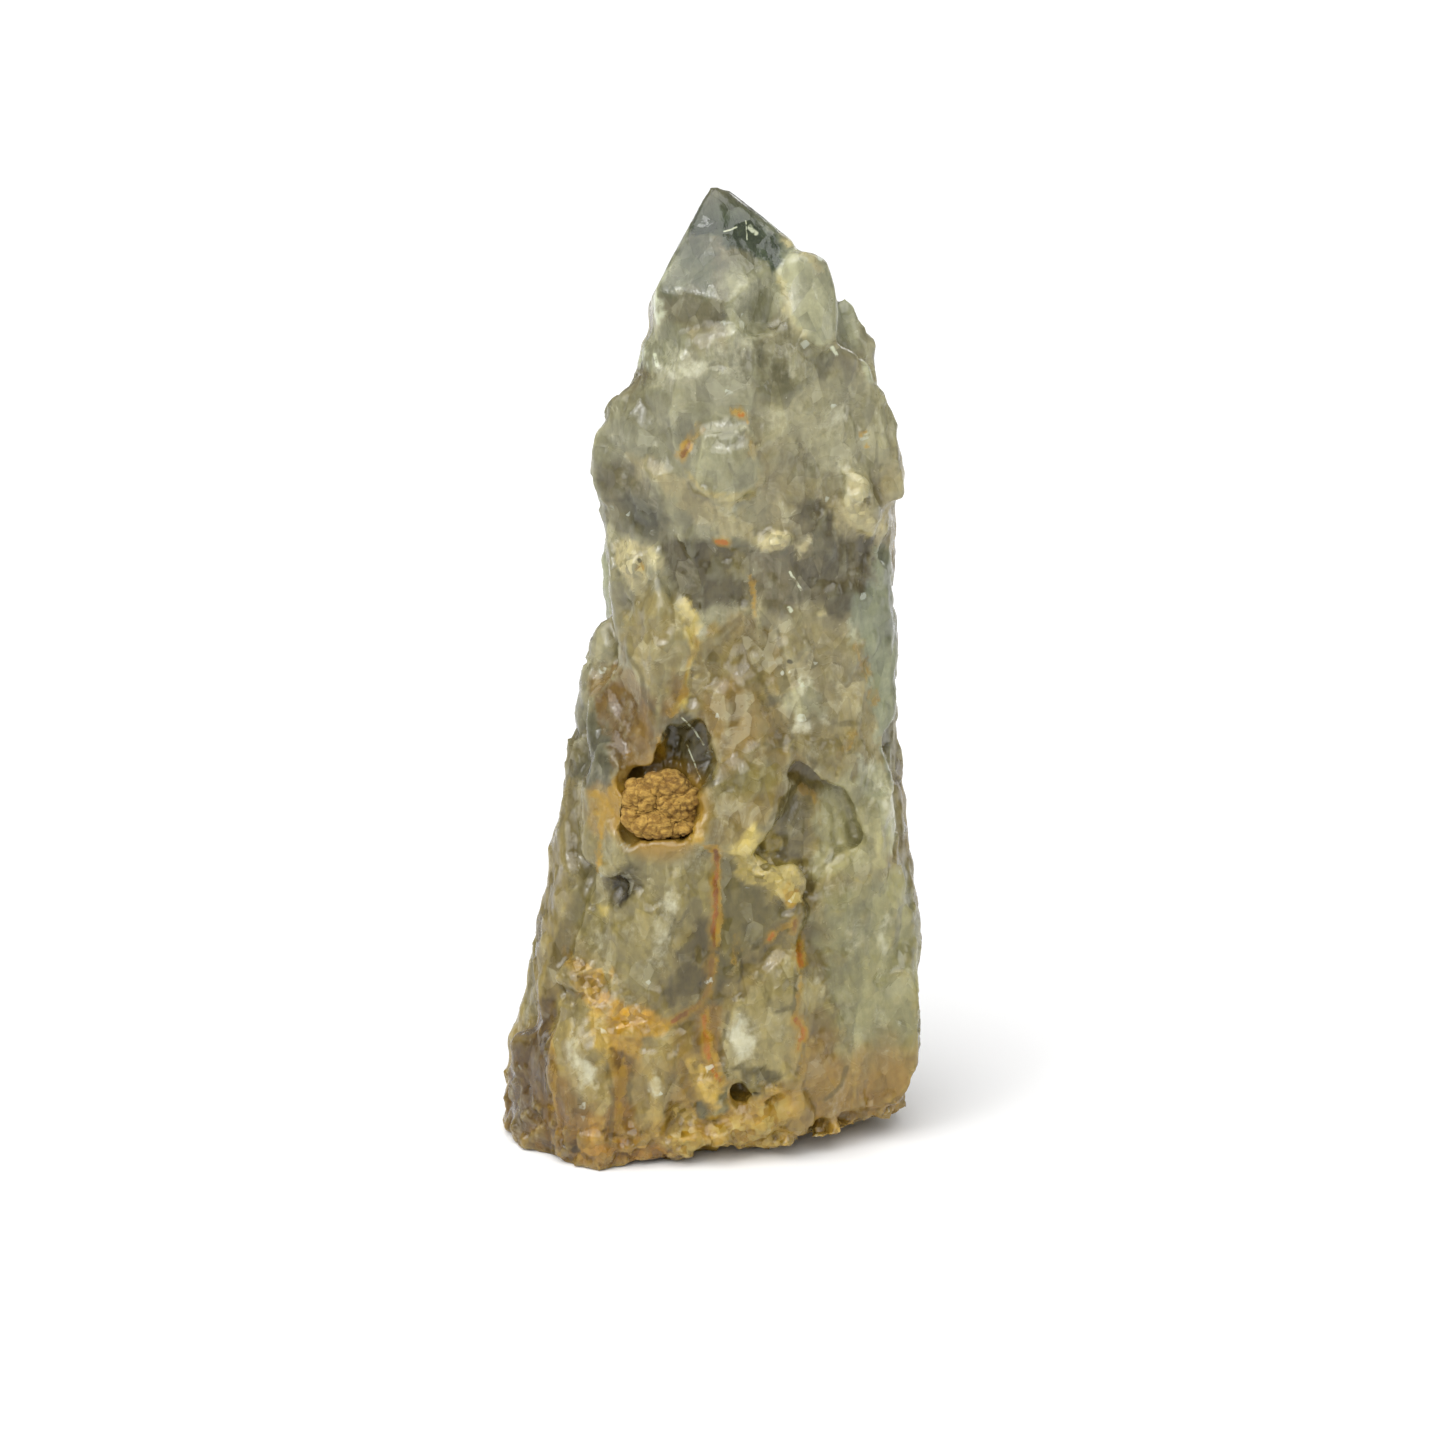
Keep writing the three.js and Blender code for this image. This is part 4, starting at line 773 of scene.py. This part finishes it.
def facet_height(tree, scale, stretch=1.0):
    """Height on small flat cells, each tilted its own way, and the cells' own colours."""
    place = object_place(tree, (scale, scale, scale / stretch))
    cells = put(tree, "ShaderNodeTexVoronoi", {"Vector": place, "Scale": 1.0})
    offset = vector("SUBTRACT", place, cells.outputs["Position"])
    tilt = vector("SUBTRACT", cells.outputs["Color"], (0.5, 0.5, 0.5))
    return vector("DOT_PRODUCT", offset, tilt), cells.outputs["Color"]


def read(tree, name, output="Fac"):
    """What the mesh keeps under a name."""
    return put(tree, "ShaderNodeAttribute", attribute_name=name).outputs[output]


def material(name):
    """An empty material with a Principled shader, and its tree."""
    made = bpy.data.materials.new(name)
    made.use_nodes = True
    made.node_tree.nodes.clear()
    shader = put(made.node_tree, "ShaderNodeBsdfPrincipled")
    out = put(made.node_tree, "ShaderNodeOutputMaterial")
    made.node_tree.links.new(shader.outputs[0], out.inputs["Surface"])
    return made, made.node_tree, shader, out


def line_share(flat, first, second, half):
    """1 on a straight line between two places (x, z) in mm on the front, 0 beside it."""
    start = Vector((first[0], 0, first[1])) * MM
    step = Vector((second[0] - first[0], 0, second[1] - first[1])) * MM
    away = vector("SUBTRACT", flat, start)
    along = times(vector("DOT_PRODUCT", away, step / step.length_squared), 1.0, clamp=True)
    reached = put(along, "ShaderNodeVectorMath", {0: step, "Scale": along}, operation="SCALE").outputs[0]
    return ramp(vector("DISTANCE", away, reached), half * 1.5 * MM, half * 0.6 * MM)


def lines_share(tree, lines, sway):
    """1 on any of some lines on the front, whose course sways by up to this many mm."""
    place = put(tree, "ShaderNodeTexCoord").outputs["Object"]
    wander = put(tree, "ShaderNodeTexNoise", {"Vector": place, "Scale": 700.0, "Detail": 2.0})
    bent = vector("ADD", place, vector("MULTIPLY", wander.outputs["Color"], (sway * MM, 0, sway * MM)))
    centred = vector("SUBTRACT", bent, (sway * MM / 2, 0, sway * MM / 2))
    flat = vector("MULTIPLY", centred, (1, 0, 1))
    share = 0.0
    for first, second, half in lines:
        share = highest(share, line_share(flat, first, second, half))
    depth = put(tree, "ShaderNodeSeparateXYZ", {0: place}).outputs[1]
    return times(share, ramp(depth, 0.0, -2.0 * MM))


def weakened(settings, colour):
    """A colour as the quartz's surface sends it back."""
    return tuple(c * share for c, share in zip(colour, settings.strength))


def weak_tone(settings, name):
    return weakened(settings, TONES[name])


def quartz_looks(tree):
    """The noises, the small cells and the numbers kept on the mesh that the quartz's looks are made of."""
    look = SimpleNamespace(
        fine=object_noise(tree, 1100.0, 3.0, 0.6),
        soft=object_noise(tree, 300.0, 3.0, 0.62, distortion=0.6),
        wisp=object_noise(tree, 190.0, 5.0, 0.68, stretch=(1.0, 1.0, 0.5), distortion=1.2),
        haze=object_noise(tree, 130.0, 4.0, 0.6, stretch=(1.3, 1.3, 0.7)),
        streaks=object_noise(tree, 1000.0, 3.0, 0.62, stretch=(1.0, 1.0, 0.22), lean=0.14),
        height=put(tree, "ShaderNodeSeparateXYZ", {0: object_place(tree)}).outputs[2],
        tint=read(tree, "tint", "Color"),
    )
    look.ragged = plus(swing(look.soft, 1.0), swing(look.fine, 0.5))
    look.facet_height, look.facet_tone = facet_height(tree, 520.0, 1.6)
    look.grain_height, look.grain_tone = facet_height(tree, 1100.0)
    for name in (*LAYERS, *STAIN_AND_SHADE_LINES):
        setattr(look, name, read(tree, name))
    return look


def ground_colour(look):
    """The mesh's tint, a little different on each plate and facet, with streaks and haze drifting through."""
    lift = plus(1.0, times(look.crumbly, swing(look.grain_tone, 0.36)))
    for value, low, high, least, most in (
        (look.plate, 0.0, 1.0, 0.84, 1.14),
        (look.soft, 0.25, 0.75, 0.94, 1.06),
        (look.haze, 0.30, 0.70, 0.90, 1.10),
        (look.streaks, 0.28, 0.72, 0.90, 1.10),
        (look.fine, 0.25, 0.75, 0.90, 1.10),
        (look.facet_tone, 0.0, 1.0, 0.86, 1.14),
        (look.grain_tone, 0.0, 1.0, 0.94, 1.06),
    ):
        lift = times(lift, ramp(value, low, high, least, most))
    return scaled(look.tint, lift)


def milky_veil(look):
    """Share of milk: clouds with feathered, streaky edges, and thin wisps and frosted facets elsewhere."""
    feather = plus(plus(look.cloud, swing(look.wisp, 0.8)), swing(look.fine, 0.35))
    wisps = ramp(plus(look.wisp, swing(look.streaks, 0.2)), 0.56, 0.74)
    frost = times(ramp(look.facet_tone, 0.62, 0.74), ramp(look.soft, 0.44, 0.60))
    thin = highest(times(wisps, 0.16), times(frost, 0.24))
    thin = times(thin, rest_of(look.clear))
    thin = times(thin, ramp(look.height, 0.004, 0.020, 0.2, 1.0))
    return highest(times(ramp(feather, 0.14, 1.0), 0.9), thin)


def shade_highlight_and_clay_colour(look, settings, colour):
    """Adds dark glassy depths, light rims that are a painted highlight on the edges, painted shade in the
    hollows and along the grooves where crystals meet, and clay on the pocket's wall.
    """
    depths = times(ramp(look.wisp, 0.40, 0.26), ramp(look.clear, 0.05, 0.4, 0.10, 0.40))
    colour = mixed(depths, colour, weak_tone(settings, "olive"))
    # Light rims: a painted highlight along the convex edges, straw low down and pale higher up
    edge = mixed(ramp(look.height, 0.020, 0.060), weak_tone(settings, "straw"),
                 weak_tone(settings, "pale"))
    colour = mixed(times(look.rim, 0.24), colour, edge)
    # Painted shade: darker in the hollows
    colour = mixed(ramp(look.hollow, 0.20, 0.9, 0.0, 0.34), colour, TONES["hollow"])
    # Painted shade along the grooves where crystals meet, broken up by the wisps
    groove_shade = ramp(plus(look.joint, swing(look.soft, 0.35)), 0.48, 0.08)
    groove_shade = times(groove_shade, ramp(look.wisp, 0.38, 0.56, 0.2, 1.0))
    colour = mixed(times(groove_shade, 0.60), colour, weak_tone(settings, "hollow"))
    return mixed(times(look.pocket, 0.9), colour, TONES["loam"])


def ochre_share(look):
    """Share of yellow ochre, in patches along the joints and broadly where it crumbles."""
    joint = ramp(plus(look.vein, times(look.ragged, 1.4)), 0.60, 0.05)
    joint = times(joint, ramp(look.wisp, 0.38, 0.58, 0.15, 1.0))
    broad = ramp(plus(look.ochre, times(look.ragged, 0.6)), 0.30, 0.90)
    return highest(times(joint, 0.85), times(broad, 0.8))


def rust_share(look):
    """Share of rust, in the cracks."""
    seam = plus(plus(look.seam, swing(look.soft, 0.5)), swing(look.fine, 0.4))
    return times(ramp(seam, 0.40, 0.10), ramp(look.wisp, 0.36, 0.52, 0.30, 1.0))


def stained(look, settings, colour, yellow, red):
    """Adds the ochre, its halo round the cracks, and the rust in them, all with ragged edges."""
    bright, straw = weakened(settings, settings.ochre), weak_tone(settings, "straw")
    ochre = mixed(ramp(look.soft, 0.36, 0.60), darker(bright, 0.60), bright)
    ochre = mixed(times(look.crumbly, ramp(look.grain_tone, 0.30, 0.70)), ochre, straw)
    colour = mixed(times(yellow, 0.85), colour, ochre)
    halo = ramp(plus(look.seam, times(look.ragged, 0.8)), 1.0, 0.15)
    colour = mixed(times(halo, 0.55), colour, bright)
    rust = mixed(ramp(look.haze, 0.44, 0.56), darker(settings.rust, 0.40), tuple(settings.rust))
    return mixed(times(red, 0.9), colour, rust)


def marked(tree, look, settings, colour, streak):
    """Adds bright streaks where cracks catch the light and glittering flecks, both painted highlights, and
    dark specks.
    """
    lit = times(streak, ramp(look.fine, 0.38, 0.56))
    colour = mixed(lit, colour, weak_tone(settings, "ice"))
    # Glittering flecks: painted glints on a few of the small cells
    painted_glint = times(ramp(look.grain_tone, 0.88, 0.93), ramp(look.soft, 0.54, 0.64))
    colour = mixed(times(painted_glint, 0.6), colour, TONES["ice"])
    return mixed(times(lines_share(tree, SPECKS, 0.5), 0.75), colour, TONES["ink"])


def clearness(look, *covers):
    """How clear the quartz is, where nothing covers it."""
    sight = look.clear
    for cover, share in covers:
        sight = times(sight, rest_of(times(cover, share)))
    return times(sight, ramp(look.soft, 0.25, 0.7, 0.8, 1.1), clamp=True)


def dullness(look, yellow):
    """Roughness: glassy faces, duller where they are etched or crusted."""
    dull = plus(ramp(look.soft, 0.35, 0.7, 0.0, 0.18), times(yellow, 0.25))
    dull = times(dull, ramp(look.clear, 0.3, 0.7, 1.0, 0.2))
    dull = plus(dull, ramp(look.clear, 0.0, 0.5, 0.08, 0.0))
    return plus(dull, 0.08, clamp=True)


def relief(look):
    """Low relief: small tilted facets, growth lines, and grit on the stained parts."""
    grit = plus(times(look.crumbly, 0.85), 0.08)
    below = {}
    for height, strength, depth in (
        (look.facet_height, 0.75, 0.0008),
        (look.streaks, 0.22, 0.0004),
        (look.grain_height, grit, 0.0006),
    ):
        inputs = {"Height": height, "Strength": strength, "Distance": depth, **below}
        below = {"Normal": put(height, "ShaderNodeBump", inputs).outputs[0]}
    return below["Normal"]


def quartz_material(settings):
    made, tree, shader, out = material("Smoky quartz")
    look = quartz_looks(tree)
    veil, streak = milky_veil(look), lines_share(tree, GLEAMS, 0.35)
    yellow, red = ochre_share(look), rust_share(look)
    colour = mixed(veil, ground_colour(look), weakened(settings, settings.cloud))
    colour = shade_highlight_and_clay_colour(look, settings, colour)
    colour = stained(look, settings, colour, yellow, red)
    covers = (veil, 0.8), (highest(yellow, red), 0.9), (streak, 1.0)
    for name, value in (
        ("Base Color", marked(tree, look, settings, colour, streak)),
        ("Transmission Weight", clearness(look, *covers)),
        ("Roughness", dullness(look, yellow)),
        ("Normal", relief(look)),
    ):
        tree.links.new(value, shader.inputs[name])
    for name, value in (
        ("IOR", settings.ior),
        ("Subsurface Weight", 0.60),
        ("Subsurface Radius", (1.0, 0.92, 0.70)),
        ("Subsurface Scale", 0.0007),
    ):
        shader.inputs[name].default_value = value
    smoke = {"Color": (*settings.smoke, 1.0), "Density": settings.absorption}
    tree.links.new(put(tree, "ShaderNodeVolumeAbsorption", smoke).outputs[0], out.inputs["Volume"])
    return made


def clay_material(settings):
    made, tree, shader, _ = material("Ochre clay")
    coarse = object_noise(tree, 900.0, 5.0, 0.65, stretch=(1.0, 1.0, 2.2))
    fine = object_noise(tree, 4200.0, 4.0, 0.7)
    gap = read(tree, "gap")
    colour = mixed(ramp(coarse, 0.36, 0.62), tuple(settings.deep), tuple(settings.pale))
    colour = scaled(colour, ramp(fine, 0.3, 0.7, 0.78, 1.12))
    # Painted shade: darker in the grooves between the crumbs
    colour = mixed(ramp(gap, 0.3, 1.0, 0.0, 0.6), colour, tone(96, 66, 26))
    bump = put(tree, "ShaderNodeBump", {"Height": fine, "Strength": 0.6, "Distance": 0.0002})
    for name, value in (
        ("Base Color", colour),
        ("Roughness", ramp(fine, 0.2, 0.8, 0.82, 0.98)),
        ("Normal", bump.outputs[0]),
    ):
        tree.links.new(value, shader.inputs[name])
    return made


def front_share(points):
    """1 on the front half of the cluster, 0 behind."""
    return smoothstep(*FRONT, points[:, 1])


def wandered(points):
    """x and z with their patches' edges made wavy."""
    moved = []
    for axis, seed in ((0, 3), (2, 4)):
        wave = field(points, 0.006, seed, 2) * 0.0006 + field(points, 0.0024, seed + 30, 5) * 0.0012
        moved.append(points[:, axis] + wave)
    return moved


def toned(tint, name, share):
    """The tint at each point, moved towards a tone by a share."""
    return tint + (np.array(TONES[name]) - tint) * share[:, None]


def paint_ground(x, z, front, height, tall, points):
    """The ground colour and the clearness at each point."""
    tint = np.tile(TONES["body"], (len(points), 1))
    clear = 0.10 + 0.16 * smoothstep(0.0, 0.5, -tall)
    drifts = ("mauve", 0.020, 7), ("shade", 0.016, 8), ("tan", 0.024, 9), ("glass", 0.018, 10)
    for name, wave, seed in drifts:
        share = smoothstep(0.08, 0.5, field(points, wave, seed, 3, 1.8)) * (1 - front * 0.7)
        tint = toned(tint, name, share * 0.8)
    tint = toned(tint, "tan", smoothstep(*WARM_GROUND, height + tall * 8) * 0.6)
    tint = toned(tint, "honey", smoothstep(*HONEY_GROUND, height + tall * 5) * 0.6)
    for name, strength, soft, glass, outline in AREAS:
        share = inside(x, z, outline, soft) * front * strength
        tint = toned(tint, name, share)
        clear += (glass - clear) * share
    return tint, clear


def paint_ochre(x, z, points, front, foot, seep):
    """Yellow ochre at each point: on the foot, most in its middle, in patches, and where it seeps down."""
    middle = 1 - (1 - smoothstep(9.0, 6.0, np.abs(points[:, 0] / MM - 2.0))) * front
    ochre = np.maximum(foot * (0.10 + 0.55 * middle), spots(x, z, OCHRE_SPOTS) * front)
    return np.maximum(ochre, seep * 0.5)


def paint(mesh, points, settings, plate, hollow, rim):
    """Keeps the quartz's colours and clearness on the mesh, by place."""
    x, z = wandered(points)
    height = points[:, 2] / MM
    front = front_share(points)
    broad, tall = field(points, 0.022, 5, 3), field(points, 0.010, 6, 4, 2.6)
    foot = smoothstep(*STAINED_FOOT, height + tall * 3 + broad * 2)
    tint, clear = paint_ground(x, z, front, height, tall, points)

    cloud = smoothstep(0.0, 0.6, tall) * 0.35 * (1 - front * 0.5)
    for patch in CLOUDS:
        cloud = np.maximum(cloud, oval(x, z, patch) * front * patch[5])
    # The main point is clear down to a ragged line all round
    tip = smoothstep(*CLEAR_POINT, height + tall * 3 + broad * 2) * smoothstep(9.5, 7.5, points[:, 0] / MM)
    clear = np.maximum(clear, tip * 0.75 * (1 - front * 0.35))
    cloud = cloud * (1 - tip * (1 - front * 0.6)) * (1 - clear * 0.6) * (1 - foot * 0.7)
    seep = smoothstep(0.35, 0.9, hollow) * smoothstep(*SEEPING_STAIN, height + broad * 20)
    wall = np.linalg.norm((points / MM - POCKET_MIDDLE) / POCKET_HALF, axis=1)

    yellowed = 1 - smoothstep(*FAINT_YELLOW, height)[:, None] * YELLOW_LOSS
    store_colour(mesh, "tint", np.clip(tint * np.array(settings.strength) * yellowed, 0.0, 1.0))
    values = (
        clear * (1 - foot * 0.7), cloud, np.maximum(foot, spots(x, z, CRUMBLY) * front),
        paint_ochre(x, z, points, front, foot, seep), hollow, rim, plate,
        smoothstep(1.45, 1.0, wall + broad * 0.2),
    )
    for name, layer in zip(LAYERS, values):
        store(mesh, name, np.clip(layer, 0.0, 1.0))
    for name, lines in STAIN_AND_SHADE_LINES.items():
        away = nearest_line(points[:, 0], points[:, 2], lines) + (1 - front) * FAR
        store(mesh, name, np.minimum(away, FAR))


def sunken(points, outward, average, rounds):
    """How far each point lies below the surface smoothed so many times."""
    smooth = points
    for _ in range(rounds):
        smooth = average(smooth)
    return ((smooth - points) * outward).sum(axis=1)


def carve(mesh, settings):
    """Wears the edges and gives the faces relief. Returns how hollow and how sharp each point is, 0 to 1."""
    average = averager(mesh)
    points = coordinates(mesh)
    height = points[:, 2] / MM
    crisp = crispness(points)
    for _ in range(settings.wear):
        points += (average(points) - points) * 0.6
    move(mesh, points)
    outward = normals(mesh)

    foot = smoothstep(*CRUMBLY_FOOT, height + field(points, 0.012, 1, 3) * 6)
    crumbly = np.maximum(foot, spots(points[:, 0], points[:, 2], CRUMBLY) * front_share(points))
    body = (1 - crisp) * (1 - crumbly)
    lift = field(points, 0.0055, 20, 3, 1.7) * settings.swell * body
    lift += facets(points, 0.0068, 21, 1.6) * settings.facets * body
    lift += facets(points, 0.0029, 25, 1.3) * settings.facets * 0.40 * (1 - crisp * 0.7)
    lift += plates(points, 0.0036, 27, 1.8) * settings.plates * body
    lift += field(points * np.array([1, 1, 0.12]), 0.0016, 22, 3) * settings.striae * (1 - crisp * 0.6)
    lift += field(points, 0.0015, 24, 3) * 0.00010 * (1 - crisp)
    middle, _ = crumbs(points, 0.0030, 23, "MANHATTAN")
    lift += (plates(points, 0.0023, 23) * 0.6 + (0.62 - middle) * 0.55) * settings.grit * crumbly
    points += outward * lift[:, None]

    points = np.clip(points, *np.array(CAD_BOX))
    before = coordinates(mesh)[:, 2]
    points[:, 2] = np.where(before < RESTING, np.maximum(0.0, before), points[:, 2])
    move(mesh, points)

    outward = normals(mesh)
    near = sunken(points, outward, average, RIM_ROUNDS)
    broad = sunken(points, outward, average, HOLLOW_ROUNDS)
    return np.clip(broad / HOLLOW_DEPTH, 0.0, 1.0), np.clip(-near / RIM_HEIGHT, 0.0, 1.0)


class CITRINE_OT_quartz(bpy.types.Operator):
    """Makes the quartz: the grown mass with worn edges, relief, clouds and stains, and painted shade and
    highlights
    """

    bl_idname = "citrine.quartz"
    bl_label = "Quartz"

    def execute(self, context):
        settings = context.scene.citrine_quartz
        piece = remeshed("citrine_cluster", "quartz_mass", settings.grid, settings.seal)
        plate = face_numbers("citrine_cluster", coordinates(piece.data))
        hollow, rim = carve(piece.data, settings)
        paint(piece.data, coordinates(piece.data), settings, plate, hollow, rim)
        piece.data.materials.append(quartz_material(settings))
        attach(piece, "root")
        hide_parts("citrine_cluster")
        return {"FINISHED"}


class CITRINE_OT_clay(bpy.types.Operator):
    """Makes the crumbly clay that fills the pocket"""

    bl_idname = "citrine.clay"
    bl_label = "Clay plug"

    def execute(self, context):
        settings = context.scene.citrine_clay
        piece = remeshed("pocket_clay", "clay_plug", settings.grid, settings.bind)
        mesh = piece.data
        points = coordinates(mesh)
        middle, edge = crumbs(points * np.array([1, 1, 1.5]), 0.0011, 31)
        layers = field(points * np.array([0.35, 0.35, 1.0]), 0.0011, 32, 4)
        lift = (0.4 - middle) * settings.crumb + layers * settings.crumb * 0.9
        lift -= smoothstep(0.12, 0.0, edge) * settings.crumb * 0.8
        lift += settings.fill
        move(mesh, points + normals(mesh) * lift[:, None])
        store(mesh, "gap", np.clip(smoothstep(0.16, 0.0, edge) - layers * 0.6, 0.0, 1.0))
        mesh.materials.append(clay_material(settings))
        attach(piece, "root")
        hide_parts("pocket_clay")
        return {"FINISHED"}


class CITRINE_OT_stage(bpy.types.Operator):
    """Makes the pale floor, the soft lights and the camera"""

    bl_idname = "citrine.stage"
    bl_label = "Floor, lights and camera"

    def execute(self, context):
        settings = context.scene.citrine_studio
        self.floor(settings)
        self.sky(context.scene, settings)
        self.lights(settings)
        self.camera(context.scene, settings)
        context.scene.view_settings.view_transform = "Standard"
        return {"FINISHED"}

    def floor(self, settings):
        mesh = bpy.data.meshes.new("floor")
        flat = bmesh.new()
        bmesh.ops.create_grid(flat, x_segments=1, y_segments=1, size=FLOOR_HALF)
        flat.to_mesh(mesh)
        flat.free()
        floor = bpy.data.objects.new("floor", mesh)
        bpy.context.scene.collection.objects.link(floor)
        made, tree, shader, _ = material("Pale floor")
        wash = object_noise(tree, 3.0, 2.0)
        tree.links.new(mixed(ramp(wash, 0.3, 0.7), tuple(c * 0.985 for c in settings.floor),
                             tuple(settings.floor)), shader.inputs["Base Color"])
        shader.inputs["Roughness"].default_value = 0.8
        mesh.materials.append(made)

    def sky(self, scene, settings):
        world = bpy.data.worlds.new("Studio")
        world.use_nodes = True
        tree = world.node_tree
        split = put(tree, "ShaderNodeSeparateXYZ", {0: put(tree, "ShaderNodeTexCoord").outputs["Generated"]})
        level = ramp(split.outputs[2], *SKY_HEIGHT)
        side = ramp(split.outputs[0], *SKY_SIDE)
        background = tree.nodes["Background"]
        tree.links.new(times(times(level, side), settings.sky), background.inputs["Strength"])
        background.inputs["Color"].default_value = (1.0, 1.0, 1.0, 1.0)
        scene.world = world

    def lights(self, settings):
        sun = bpy.data.lights.new("key", "SUN")
        sun.energy, sun.angle = settings.key, settings.spread
        # place, size and power of each soft light, all aimed at the middle of the cluster
        lamps = [(sun, (-0.32, -0.58, 0.90))]
        for name, place, size, power in (
            ("glint", (-0.30, -0.42, 0.40), 0.16, settings.glint),
            ("fill", (0.50, -0.30, 0.22), 0.22, settings.glint * 0.5),
            ("back", (0.30, 0.50, 0.35), 0.30, settings.glint * 1.2),
        ):
            lamp = bpy.data.lights.new(name, "AREA")
            lamp.shape, lamp.size, lamp.energy = "DISK", size, power
            lamps.append((lamp, place))
        for lamp, place in lamps:
            light = bpy.data.objects.new(lamp.name, lamp)
            light.location = place
            beam = Vector(LIGHT_AIM) * MM - Vector(place)
            light.rotation_euler = beam.to_track_quat("-Z", "Y").to_euler()
            bpy.context.scene.collection.objects.link(light)

    def camera(self, scene, settings):
        aim = Vector(CAMERA_AIM) * MM
        lens = bpy.data.cameras.new("view")
        lens.lens, lens.sensor_width = settings.lens, 36.0
        lens.clip_start, lens.clip_end = 0.02, 50.0
        view = bpy.data.objects.new("view", lens)
        back = Vector((0, -math.cos(settings.elevation), math.sin(settings.elevation)))
        view.location = aim + back * settings.distance
        view.rotation_euler = (math.pi / 2 - settings.elevation, 0, 0)
        scene.collection.objects.link(view)
        scene.camera = view


class CITRINE_PT_panel(bpy.types.Panel):
    bl_idname = "CITRINE_PT_panel"
    bl_label = "Citrine cluster"
    bl_space_type = "VIEW_3D"
    bl_region_type = "UI"
    bl_category = "Citrine"

    def draw(self, context):
        for label, name, operator in (("Quartz", "citrine_quartz", "citrine.quartz"),
                                      ("Clay plug", "citrine_clay", "citrine.clay"),
                                      ("Studio", "citrine_studio", "citrine.stage")):
            box = self.layout.box()
            box.label(text=label)
            settings = getattr(context.scene, name)
            for key in settings.bl_rna.properties.keys():
                if key not in ("rna_type", "name"):
                    box.prop(settings, key)
            box.operator(operator)


SETTINGS = {"citrine_quartz": QuartzSettings, "citrine_clay": ClaySettings, "citrine_studio": StudioSettings}
CLASSES = (*SETTINGS.values(), CITRINE_OT_quartz, CITRINE_OT_clay, CITRINE_OT_stage, CITRINE_PT_panel)


def register():
    for cls in CLASSES:
        bpy.utils.register_class(cls)
    for name, group in SETTINGS.items():
        setattr(bpy.types.Scene, name, PointerProperty(type=group))


def unregister():
    for name in SETTINGS:
        delattr(bpy.types.Scene, name)
    for cls in reversed(CLASSES):
        bpy.utils.unregister_class(cls)


def main():
    register()
    bpy.ops.citrine.quartz()
    bpy.ops.citrine.clay()
    bpy.ops.citrine.stage()


if __name__ == "__main__":
    main()
